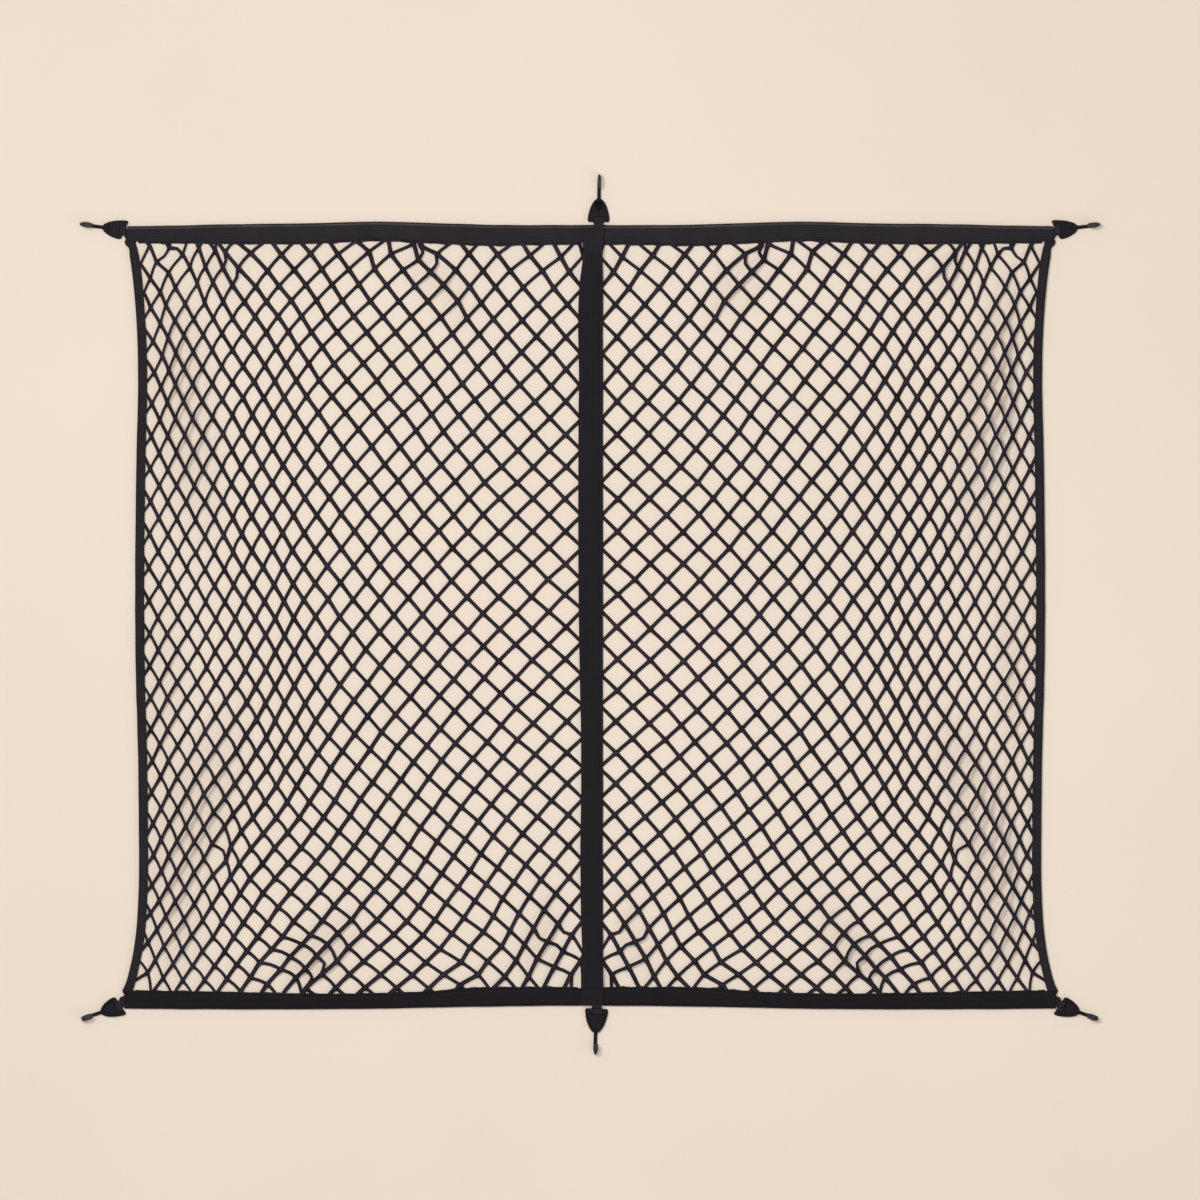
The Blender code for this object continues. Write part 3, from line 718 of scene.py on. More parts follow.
@dataclass(frozen=True)
class WebbingFinish:
    """Woven webbing: lengthwise ribs, a fine cross weave, soft patches, a painted highlight along a fold's
    crest, and paler ridges towards a top end.

    Attributes:
        name: The material's name.
        dark: Colour between the threads.
        light: Colour of the threads' ridges.
        rib: Width of a lengthwise rib, in millimetres.
        pick: Width of a cross thread, in millimetres.
        relief: Depth of the weave, in metres.
        roughness: Least roughness.
        gloss: Specular level.
        sheen: Weight of the fibres' sheen.
        patches: Scale of the soft patches.
        threads: Scale of the threads' own unevenness.
        fold_highlight: Colour of a painted highlight along the crest of a fold, where there is one.
        fold_place: Where that crest runs, in millimetres across from the fold's top.
        paler_top: Colour of the ridges at the webbing's paler top end, where there is one.
        paler_from: Height up the net at which the paler end begins, in metres.
        paler_to: Height from which it is palest.
    """

    name: str
    dark: tuple[float, float, float] = (0.0050, 0.0036, 0.0054)
    light: tuple[float, float, float] = (0.024, 0.019, 0.026)
    rib: float = 2.1
    pick: float = 0.85
    relief: float = 0.00012
    roughness: float = 0.56
    gloss: float = 0.2
    sheen: float = 0.04
    patches: float = 38.0
    threads: float = 900.0
    fold_highlight: Optional[tuple[float, float, float]] = None
    fold_place: float = -0.4
    paler_top: Optional[tuple[float, float, float]] = None
    paler_from: float = 0.325
    paler_to: float = 0.368

    def make(self) -> bpy.types.Material:
        """Build the material; its map runs in millimetres across and along the webbing.

        Returns:
            The material.
        """
        board = NodeBoard(self.name)
        across, along = board.weave_axes()
        ribs = board.wave(across, self.rib)
        phase = board.math("MULTIPLY", across, math.pi / self.rib)
        picks = board.math("SINE", board.math("MULTIPLY_ADD", along, 2 * math.pi / self.pick, phase))
        weave = board.math("ADD", board.math("MULTIPLY", ribs, 0.6), board.math("MULTIPLY", picks, 0.4))
        patch = board.noise(self.patches, 4.0)
        thread = board.noise(self.threads, 2.0)
        tone = board.math("MULTIPLY_ADD", weave, 0.34, board.math("MULTIPLY", patch, 0.75))
        tone = board.math("MULTIPLY_ADD", thread, 0.18, tone)
        colour = board.blend(tone, self.dark, self.light)
        # painted highlight: a pale line along the crest of the fold
        if self.fold_highlight is not None:
            off = board.math("MULTIPLY", board.math("SUBTRACT", across, self.fold_place), 2.0)
            line = board.math("POWER", 0.5, board.math("MULTIPLY", off, off))
            line = board.math("MULTIPLY", line, board.math("MULTIPLY_ADD", patch, 1.1, 0.2))
            colour = board.blend(line, colour, self.fold_highlight)
        if self.paler_top is not None:
            share = board.rise(board.object_axis(1), self.paler_from, self.paler_to)
            colour = board.blend(share, colour, board.blend(tone, self.dark, self.paler_top))
        rough = board.math("MULTIPLY_ADD", thread, 0.2, self.roughness)
        normal = board.bump(weave, self.relief, 0.9, board.bump(thread, 0.00005))
        return board.finish(colour, rough, normal, self.gloss, self.sheen)


@dataclass(frozen=True)
class PlasticFinish:
    """Moulded plastic with a satin grain, cloudy patches and a painted highlight on the raised wire.

    Attributes:
        name: The material's name.
        dark: Colour of the darkest patches.
        light: Colour of the lightest patches.
        wire_highlight: Colour of the painted highlight where the wire stands up.
        highlight_from: Height at which the painted highlight begins, in metres.
        highlight_to: Height from which it is at full strength.
        roughness: Least roughness.
        gloss: Specular level.
        clouds: Scale of the patches.
        grain: Scale of the mould's grain.
    """

    name: str
    dark: tuple[float, float, float] = (0.0042, 0.0032, 0.0050)
    light: tuple[float, float, float] = (0.0125, 0.0098, 0.0140)
    wire_highlight: tuple[float, float, float] = (0.048, 0.043, 0.052)
    highlight_from: float = 0.0065
    highlight_to: float = 0.0120
    roughness: float = 0.46
    gloss: float = 0.08
    clouds: float = 120.0
    grain: float = 2400.0

    def make(self) -> bpy.types.Material:
        """Build the material, with a painted highlight where the hook's arm stands up.

        Returns:
            The material.
        """
        board = NodeBoard(self.name)
        cloud = board.noise(self.clouds, 4.0)
        # painted highlight: the wire is paler the higher it stands
        share = board.rise(board.object_axis(2), self.highlight_from, self.highlight_to)
        share = board.math("MULTIPLY", share, board.math("MULTIPLY_ADD", cloud, 0.9, 0.35))
        colour = board.blend(share, board.blend(cloud, self.dark, self.light), self.wire_highlight)
        rough = board.math("MULTIPLY_ADD", cloud, 0.22, self.roughness)
        return board.finish(colour, rough, board.bump(board.noise(self.grain, 2.0), 0.00004, 0.8), self.gloss)


@dataclass(frozen=True)
class ThreadFinish:
    """Sewing thread, twisted and slightly glossy."""

    name: str
    dark: tuple[float, float, float] = (0.007, 0.006, 0.008)
    light: tuple[float, float, float] = (0.032, 0.027, 0.034)
    twists: float = 1800.0
    gloss: float = 0.25

    def make(self) -> bpy.types.Material:
        """Build the material.

        Returns:
            The material.
        """
        board = NodeBoard(self.name)
        twist = board.noise(self.twists, 2.0)
        rough = board.math("MULTIPLY_ADD", twist, 0.2, 0.45)
        colour = board.blend(twist, self.dark, self.light)
        return board.finish(colour, rough, board.bump(twist, 0.00004), self.gloss)


@dataclass(frozen=True)
class FloorFinish:
    """Plain pale surface with a faint warm mottle."""

    name: str
    low: tuple[float, float, float] = (0.790, 0.680, 0.575)
    high: tuple[float, float, float] = (0.835, 0.730, 0.625)
    mottles: float = 3.0
    grain: float = 260.0
    gloss: float = 0.2

    def make(self) -> bpy.types.Material:
        """Build the material.

        Returns:
            The material.
        """
        board = NodeBoard(self.name)
        grain = board.noise(self.grain, 3.0)
        rough = board.math("MULTIPLY_ADD", grain, 0.1, 0.8)
        colour = board.blend(board.noise(self.mottles, 5.0), self.low, self.high)
        return board.finish(colour, rough, board.bump(grain, 0.00005, 0.3), self.gloss)


# ---- meshes -----------------------------------------------------------------------------------------------
@dataclass
class MeshWork:
    """Vertices, faces and the weave map of a mesh in the making, in millimetres."""

    points: list[tuple[float, float, float]] = field(default_factory=list)
    faces: list[list[int]] = field(default_factory=list)
    weave: list[tuple[float, float]] = field(default_factory=list)

    def add_rings(self, rings: Sequence[Sequence[Sequence[float]]], around: Sequence[float],
                  along: Sequence[float]) -> None:
        """Join rings of points into a closed skin with a cap at each end.

        Args:
            rings: One ring of points for each station.
            around: The map's value at each ring point, and once more where the ring closes.
            along: The map's value at each station.
        """
        count = len(rings[0])
        first = len(self.points)
        for ring in rings:
            self.points.extend(tuple(point) for point in ring)
        for i in range(len(rings) - 1):
            low, high = first + i * count, first + (i + 1) * count
            for j in range(count):
                k = (j + 1) % count
                self.faces.append([low + j, low + k, high + k, high + j])
                self.weave.extend([(around[j], along[i]), (around[j + 1], along[i]),
                                   (around[j + 1], along[i + 1]), (around[j], along[i + 1])])
        for start, end in ((first, 0), (first + (len(rings) - 1) * count, -1)):
            loop = [start + j for j in range(count)]
            self.faces.append(loop[::-1] if end == 0 else loop)
            marks = [(around[j], along[end]) for j in range(count)]
            self.weave.extend(marks[::-1] if end == 0 else marks)

    def to_object(self, name: str, material: bpy.types.Material, sharp: float = 180.0) -> bpy.types.Object:
        """Make the object.

        Args:
            name: The piece's name.
            material: Its finish.
            sharp: Edges that bend more than this, in degrees, stay sharp.

        Returns:
            The object, linked to the scene.
        """
        mesh = bpy.data.meshes.new(name)
        mesh.from_pydata([(x * MM, y * MM, z * MM) for x, y, z in self.points], [], self.faces)
        layer = mesh.uv_layers.new(name="weave")
        layer.data.foreach_set("uv", [value for mark in self.weave for value in mark])
        mesh.materials.append(material)
        obj = bpy.data.objects.new(name, mesh)
        bpy.context.scene.collection.objects.link(obj)
        work = bmesh.new()
        work.from_mesh(mesh)
        bmesh.ops.recalc_face_normals(work, faces=work.faces[:])
        bmesh.ops.triangulate(work, faces=[face for face in work.faces if len(face.verts) > 4])
        work.to_mesh(mesh)
        work.free()
        mesh.shade_smooth()
        if sharp < 180.0:
            mesh.set_sharp_from_angle(angle=math.radians(sharp))
        return obj


def enrol(piece: bpy.types.Object, slot: Slot, *nodes: str) -> bpy.types.Object:
    """Ride a finished piece on the net and hide the nodes that it stands for.

    Args:
        piece: The piece.
        slot: The record's slot that its finish is for; not used.
        nodes: CAD nodes that it replaces.

    Returns:
        The piece.
    """
    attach(piece, "root")
    if nodes:
        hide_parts(*nodes)
    LOG.info("%s: %d faces", piece.name, len(piece.data.polygons))
    return piece


# ---- the net ----------------------------------------------------------------------------------------------
class NetLie:
    """Where the net's crossings lie and how high it stands."""

    def __init__(self) -> None:
        """Keep the tables' rows and columns ready."""
        self.rows = [section.row for section in CROSSING_X]
        self.known: dict[tuple[float, float], Vector] = {}

    def crossing(self, column: float, row: float) -> tuple[float, float]:
        """X and Y of a crossing of the left panel, with the pulls at its gathers.

        Args:
            column: Meshes from the strap.
            row: Meshes down from the top band.

        Returns:
            Its X and Y.
        """
        place = []
        for table in (CROSSING_X, CROSSING_Y):
            across = [curve_through(self.rows, [section[k + 1] for section in table], row)
                      for k in range(len(SECTION_COLUMNS))]
            place.append(curve_through(SECTION_COLUMNS, across, column))
        x, y = place
        for pull in PULLS:
            near = math.exp(-((column - pull.column) / pull.reach_columns) ** 2
                            - ((row - pull.row) / pull.reach_rows) ** 2)
            x += pull.shift_x * near
            y += pull.shift_y * near
        return x, y

    @staticmethod
    def taut(column: float, row: float) -> float:
        """Share of the strain, from 0 to 1, that the cords leaning down towards the strap carry.

        Args:
            column: Meshes from the strap.
            row: Meshes down from the top band.

        Returns:
            The share; the cords of the other set carry the rest.
        """
        # even by the strap halfway up, one-sided elsewhere, and passed to the other set below the middle row
        from_middle = abs(row - 12.0)
        strained = max(smooth_step((column - 2.0) / 6.0), smooth_step((from_middle - 8.0) / 3.0))
        return 0.5 + 0.42 * strained * (1.0 - 2.0 * smooth_step((row - 9.5) / 5.0))

    @staticmethod
    def right_hand(x: float) -> float:
        """Place of a left panel's point on the right panel, which mirrors it about the strap's centre."""
        return -x + 2 * STRAP_OFFSET * (1.0 - abs(x) / binding_edge(0.0))

    @staticmethod
    def distances(x: float, y: float) -> tuple[float, float]:
        """How far a point lies outside the bands and bindings, and outside the strap.

        Args:
            x: Distance right of the net's middle.
            y: Height up the net.

        Returns:
            The distance to the nearest band or binding, and to the strap, both positive on the free net.
        """
        to_top = band_edge(TOP_BAND, x, "open") - y
        to_bottom = y - band_edge(BOTTOM_BAND, x, "open")
        to_side = binding_edge(y) - BINDING_WIDTH - abs(x)
        return min(to_top, to_bottom, to_side), abs(x - STRAP_OFFSET) - STRAP_HALF

    def height(self, x: float, y: float) -> float:
        """How far the underside of the net stands above the surface.

        Args:
            x: Distance right of the net's middle.
            y: Height up the net.

        Returns:
            The height.
        """
        to_rim, to_strap = self.distances(x, y)
        near = smooth_step(1.0 - max(to_rim, 0.0) / RIM_RUN)
        lift = 0.0
        for fold in FOLDS:
            lean = math.radians(fold.lean)
            dx, dy = -abs(x) - fold.x, y - fold.y
            along = dy * math.cos(lean) - dx * math.sin(lean)
            across = dx * math.cos(lean) + dy * math.sin(lean)
            lift += fold.lift * math.exp(-((along / fold.half_length) ** 2 + (across / fold.half_width) ** 2))
        room = smooth_step((min(to_rim, to_strap) - RIM_FLAT) / RIM_RUN * 1.6)
        return (WEBBING + CLEARANCE) * near + lift * room


@dataclass
class CordNet:
    """One panel of the net: every cord of it, at its real pitch, from rim to rim.

    Attributes:
        side: Which half of the net the panel is.
        lie: How the panel lies.
        finish: The cord's material.
        cut: The panel's flat width and length, in metres; not used.
        cord_share: Share of that rectangle which the cords cover; not used.
        cord_width: Width of a cord as it lies.
        cord_height: Its height.
        side_narrowing: Share of its width that a cord loses near the binding.
        narrow_from: Distance from the net's middle at which that begins.
        narrow_run: Run in which it comes.
        slack_narrowing: Share of its width between a slack and a taut cord.
        joint_swell: Share of its width that a cord gains at a crossing.
        reach_above: How far that reaches up from the crossing.
        reach_below: How far it reaches down.
        over: How far the taut cord rises over the other one at a crossing.
        over_reach: How far that reaches along the cord, as a share of the crossing's reach.
        least_arch: Turn of a taut cord between two crossings, in radians.
        most_arch: What a slack cord adds to it.
        wander: How far a crossing may lie off its even place.
        sides: Faces round a cord.
        braid_repeat: Length of one repeat of the braid.
        rims: First and last column, and first and last row, that a cord may reach.
        band_row: Row from which a cord may end in the bottom band.
        grip: How far it runs in between that band's layers.
        grip_step: Step in rows in which its end is looked for.
        corner: Columns at the upper outer corner that have no cord of their own.
        shortest: Rows that the shortest cord spans.
        end_gap: Half rows before a cut end that are free of crossings.
        steps: Stations of a cord from one crossing to the next.
        rim_step: Step along the bunched rims.
        rim_bunch: How far the bunching moves a rim.
        far: Any distance at which a crossing no longer shapes a cord.
    """

    side: Side
    lie: NetLie
    finish: bpy.types.Material
    cut: tuple[float, float] = (0.440, 0.745)
    cord_share: float = 0.55
    cord_width: float = 3.85
    cord_height: float = 3.1
    side_narrowing: float = 0.2
    narrow_from: float = 320.0
    narrow_run: float = 70.0
    slack_narrowing: float = 0.28
    joint_swell: float = 0.30
    reach_above: float = 1.9
    reach_below: float = 3.2
    over: float = 0.9
    over_reach: float = 1.7
    least_arch: float = 0.03
    most_arch: float = 0.30
    wander: float = 0.7
    sides: int = 8
    braid_repeat: float = 3.2
    rims: tuple[float, float, float, float] = (-0.1, 18.0, -0.25, 24.4)
    band_row: float = 23.3
    grip: float = 8.0
    grip_step: float = 0.02
    corner: float = 0.6
    shortest: float = 0.3
    end_gap: float = 0.2
    steps: tuple[float, ...] = (0.0, 0.10, 0.24, 0.5, 0.76, 0.90)
    rim_step: float = 4.0
    rim_bunch: float = 1.1
    far: float = 9.0

    def build(self) -> bpy.types.Object:
        """Lay every cord and make the panel of them.

        Returns:
            The panel.
        """
        work = MeshWork()
        for leaning_down in (True, False):
            for track in self.tracks(leaning_down):
                self.lay(work, track, leaning_down)
        self.rim(work, TOP_BAND, -1.0, 0.5)
        self.rim(work, BOTTOM_BAND, 1.0, -0.4)
        side = self.side.name.lower()
        panel = enrol(work.to_object(f"cords_{side}", self.finish), Slot.CORD, f"net_{side}")
        return panel

    @property
    def around(self) -> list[float]:
        """The map's value at each point round a cord, and once more where it closes."""
        return [(j + 0.5) / self.sides for j in range(self.sides + 1)]

    def tracks(self, leaning_down: bool) -> list[list[tuple[float, float]]]:
        """Columns and rows that each cord passes, from its one rim to its other.

        Args:
            leaning_down: Whether column plus row stays the same along a cord, or column less row.

        Returns:
            A list of cords, each a list of crossings with its two cut ends.
        """
        first_column, last_column, first_row, last_row = self.rims
        tracks = []
        for k in range(-math.floor(last_row), math.ceil(last_column + last_row)):
            level = k + 0.5
            if leaning_down:
                last_level = last_column + self.band_row
                start, end = max(first_row, level - last_column), min(last_row, level - first_column)
            else:
                last_level = last_column - first_row - self.corner
                start, end = max(first_row, first_column - level), min(last_row, last_column - level)
            if end > self.band_row:
                end = self.rim_row(level, leaning_down)
            if level > last_level or end - start < self.shortest:
                continue
            between = range(math.ceil(start * 2 + self.end_gap), math.floor(end * 2 - self.end_gap) + 1)
            rows = [start, *(n / 2 for n in between), end]
            tracks.append([(level - row if leaning_down else level + row, row) for row in rows])
        return tracks

    def rim_row(self, level: float, leaning_down: bool) -> float:
        """Row at which a cord ends between the bottom band's layers.

        Args:
            level: The cord's column plus row, or column less row.
            leaning_down: Which of these two it is.

        Returns:
            The row.
        """
        row = self.band_row
        while row < self.rims[3]:
            x, y = self.lie.crossing(level - row if leaning_down else level + row, row)
            if y < band_edge(BOTTOM_BAND, x, "open") - self.grip:
                break
            row += self.grip_step
        return row

    def joint(self, column: float, row: float) -> Vector:
        """Place of a crossing's middle on this panel, at cord height, with a small seeded wander.

        Args:
            column: Meshes from the strap.
            row: Meshes down from the top band.

        Returns:
            The place.
        """
        key = (round(column, 3), round(row, 3))
        if key not in self.lie.known:
            x, y = self.lie.crossing(column, row)
            drift = noise.noise_vector(Vector((column * 0.9, row * 0.9, SEED)))
            self.lie.known[key] = Vector((x + self.wander * drift.x * 2, y + self.wander * drift.y * 2, 0.0))
        place = self.lie.known[key].copy()
        if self.side is Side.RIGHT:
            place.x = self.lie.right_hand(place.x)
        place.z = self.lie.height(place.x, place.y)
        return place

    def lay(self, work: MeshWork, track: list[tuple[float, float]], leaning_down: bool) -> None:
        """Lay one cord through its crossings, with the bows that its slack gives it.

        Args:
            work: The panel's mesh in the making.
            track: Columns and rows that the cord passes.
            leaning_down: Which of the two sets the cord belongs to.
        """
        joints = [self.joint(*place) for place in track]
        through = [self.heading(column, row, leaning_down) for column, row in track]
        taut = [self.lie.taut(*place) if leaning_down else 1.0 - self.lie.taut(*place) for place in track]
        rings, along = [], []
        travelled = 0.0
        last = None
        for i in range(len(joints) - 1):
            chord = (joints[i + 1] - joints[i]).length
            give = self.give(*track[i], (taut[i] + taut[i + 1]) / 2)
            leaves, arrives = self.arched(joints[i + 1] - joints[i], through[i], through[i + 1], give)
            final = i == len(joints) - 2
            bulge = self.bulge(track[i], track[i + 1], leaning_down)
            for t in self.steps + ((1.0,) if final else ()):
                first, leaving, second, arriving = hermite(t)
                place = ((first * joints[i] + leaving * chord * leaves)
                         + (second * joints[i + 1] + arriving * chord * arrives)
                         + bulge * (16.0 * (t * (1.0 - t)) ** 2))
                place.z = self.lie.height(place.x, place.y)
                if last is not None:
                    travelled += (place - last).length
                last = place
                below = t * chord / self.reach_below if i > 0 else self.far
                above = (1 - t) * chord / self.reach_above if not final else self.far
                rings.append((place, min(below, above), taut[i] + (taut[i + 1] - taut[i]) * t))
                along.append(travelled / self.braid_repeat)
        skins = []
        for k, (place, to_joint, strain) in enumerate(rings):
            heading = rings[min(k + 1, len(rings) - 1)][0] - rings[max(k - 1, 0)][0]
            skins.append(self.skin(place, to_joint, heading, strain))
        work.add_rings(skins, self.around, along)

    def rim(self, work: MeshWork, band: Sequence[BandEdge], inward: float, shown: float) -> None:
        """Lay the bunched rim of the net that peeps out along a band's open edge.

        Args:
            work: The panel's mesh in the making.
            band: The band's edges.
            inward: Direction of the net from the band, along Y.
            shown: How far the rim's middle lies outside the band.
        """
        rings, along = [], []
        for x in spaced(STRAP_HALF, band[-1].along - BINDING_WIDTH - 2.0, self.rim_step):
            bunch = noise.noise(Vector((x * 0.11, inward * SEED, self.side.value)))
            y = band_edge(band, x, "open") + inward * (shown + self.rim_bunch * bunch)
            place = Vector((self.side.value * x, y, self.lie.height(x, y)))
            rings.append(self.skin(place, self.far, Vector((1.0, 0.0, 0.0)), 0.1 + 0.8 * abs(bunch)))
            along.append(x / self.braid_repeat)
        work.add_rings(rings, self.around, along)

    def bulge(self, start: tuple[float, float], end: tuple[float, float], leaning_down: bool) -> Vector:
        """How far the middle of a cord bulges between two crossings.

        Args:
            start: Column and row of the upper crossing.
            end: Column and row of the lower crossing.
            leaning_down: Which of the two sets the cord belongs to.

        Returns:
            The bulge, nothing where the cord lies straight.
        """
        column, row = (start[0] + end[0]) / 2, (start[1] + end[1]) / 2
        for slack in SLACKS:
            if slack.leaning_down == leaning_down and abs(slack.column - column) + abs(slack.row - row) < 0.2:
                return Vector((-self.side.value * slack.bulge_x, slack.bulge_y, 0.0))
        return Vector()

    def heading(self, column: float, row: float, leaning_down: bool) -> Vector:
        """Direction, down the net, in which a cord passes a joint.

        Args:
            column: Meshes from the strap.
            row: Meshes down from the top band.
            leaning_down: Which of the two sets the cord belongs to.

        Returns:
            The unit direction.
        """
        lean = -0.5 if leaning_down else 0.5
        way = self.joint(column + lean, row + 0.5) - self.joint(column - lean, row - 0.5)
        return Vector((way.x, way.y, 0.0)).normalized()

    def give(self, column: float, row: float, taut: float) -> float:
        """Share of the most arch that a cord takes: most where it is slack, near the side, and uneven.

        Args:
            column: Meshes from the strap.
            row: Meshes down from the top band.
            taut: Share of the strain that the cord carries.

        Returns:
            The share.
        """
        # slack begins at the tenth column, nearer the strap in the lower rows, and lessens by the binding
        uneven = 0.5 + noise.noise(Vector((column * 1.3, row * 1.3, SEED + 4.0)))
        first = 10.0 - 3.5 * smooth_step((row - 16.0) / 4.0)
        near_side = smooth_step((column - first) / 2.5) * (1.0 - 0.6 * smooth_step((column - 14.8) / 1.5))
        return (1.0 - taut) ** 2.0 * (0.05 + 0.95 * near_side) * max(0.1, 0.35 + 1.1 * uneven)

    def arched(self, span: Vector, first: Vector, second: Vector, give: float) -> tuple[Vector, Vector]:
        """How a cord leaves its upper joint and arrives at its lower one: flatter, then steeper.

        Args:
            span: From the upper joint to the lower.
            first: The cord's direction through the upper joint.
            second: The cord's direction through the lower joint.
            give: Share of the most arch.

        Returns:
            The unit directions at the two joints.
        """
        turn = math.copysign(self.least_arch + self.most_arch * give, span.x)
        along = Vector((span.x, span.y, 0.0)).normalized()
        return (Matrix.Rotation(turn, 3, "Z") @ (first + along).normalized(),
                Matrix.Rotation(-turn, 3, "Z") @ (second + along).normalized())

    def skin(self, place: Vector, to_joint: float, heading: Vector,
             taut: float) -> list[tuple[float, float, float]]:
        """Ring of points round the cord at one place.

        Args:
            place: The cord's middle, at the height of its underside.
            to_joint: Distance to the nearest crossing, as a share of the crossing's reach.
            heading: The cord's direction.
            taut: Share of the strain that it carries.

        Returns:
            The ring's points.
        """
        to_rim, to_strap = self.lie.distances(place.x, place.y)
        free = smooth_step((to_rim + 2.0) / 6.0) * smooth_step((to_strap + 2.0) / 6.0)
        swell = self.joint_swell * math.exp(-to_joint ** 2)
        narrow = 1.0 + self.slack_narrowing * (taut - 0.5)
        narrow *= 1.0 - self.side_narrowing * smooth_step((abs(place.x) - self.narrow_from) / self.narrow_run)
        half_width = self.cord_width / 2 * narrow * (1 + swell) * (0.9 + 0.1 * free)
        half_height = (self.cord_height / 2) * (0.78 + 0.22 * free) * (1 + swell * 0.5 * free)
        upper = smooth_step(0.5 + (taut - 0.5) * 1.4)
        rise = self.over * math.exp(-(to_joint / self.over_reach) ** 2) * free * upper
        middle = place.z + half_height + rise + 0.25 * (1 - free)
        across = Vector((-heading.y, heading.x, 0.0)).normalized()
        ring = []
        for j in range(self.sides):
            angle = 2 * math.pi * (j + 0.5) / self.sides
            out = across * (half_width * math.cos(angle))
            ring.append((place.x + out.x, place.y + out.y, middle + half_height * math.sin(angle)))
        return ring


# ---- webbing ----------------------------------------------------------------------------------------------
@dataclass
class Seam:
    """A row of stitches, each a short raised loop of thread.

    Attributes:
        finish: The thread's material.
        stitch: Length of a stitch.
        gap: Space to the next one.
        thread: Thickness of the thread.
        sides: Faces round the thread.
        swell: Places along a stitch, each with the share of the thickness that it has there.
        work: The stitches' mesh in the making.
    """

    finish: bpy.types.Material
    stitch: float = 2.7
    gap: float = 0.9
    thread: float = 0.55
    sides: int = 6
    swell: tuple[tuple[float, float], ...] = (
        (0.0, 0.35), (0.18, 0.85), (0.5, 1.0), (0.82, 0.85), (1.0, 0.35))
    work: MeshWork = field(default_factory=MeshWork)

    def sew(self, path: Sequence[Vector]) -> None:
        """Sew along a path of surface points in millimetres.

        Args:
            path: The points.
        """
        lengths = running_lengths(path)
        at = self.gap
        while at + self.stitch < lengths[-1]:
            self.loop(self.read(path, lengths, at), self.read(path, lengths, at + self.stitch))
            at += self.stitch + self.gap

    @staticmethod
    def read(path: Sequence[Vector], lengths: Sequence[float], at: float) -> Vector:
        """Point of the path at a length along it.

        Args:
            path: Points of the path.
            lengths: Length run at each of them.
            at: The length.

        Returns:
            The point.
        """
        k = 0
        while k < len(path) - 2 and lengths[k + 1] < at:
            k += 1
        t = (at - lengths[k]) / max(lengths[k + 1] - lengths[k], 1e-6)
        return path[k].lerp(path[k + 1], t)

    def loop(self, start: Vector, end: Vector) -> None:
        """One stitch, its two ends sunk into the cloth.

        Args:
            start: Where the thread comes up.
            end: Where it goes down.
        """
        ahead = (end - start).normalized()
        across = Vector((-ahead.y, ahead.x, 0.0)).normalized()
        up = ahead.cross(across)
        up = up if up.z > 0 else -up
        turns = [2 * math.pi * j / self.sides for j in range(self.sides)]
        rings = []
        for t, size in self.swell:
            centre = start.lerp(end, t) + up * (self.thread * (0.55 * size - 0.45))
            rings.append([centre + (across * math.cos(turn) + up * math.sin(turn)) * self.thread / 2 * size
                          for turn in turns])
        self.work.add_rings(rings, [j / self.sides for j in range(self.sides + 1)], range(len(rings)))

    def finish_piece(self, name: str, slot: Slot) -> bpy.types.Object:
        """Make the row's object."""
        return enrol(self.work.to_object(name, self.finish), slot)


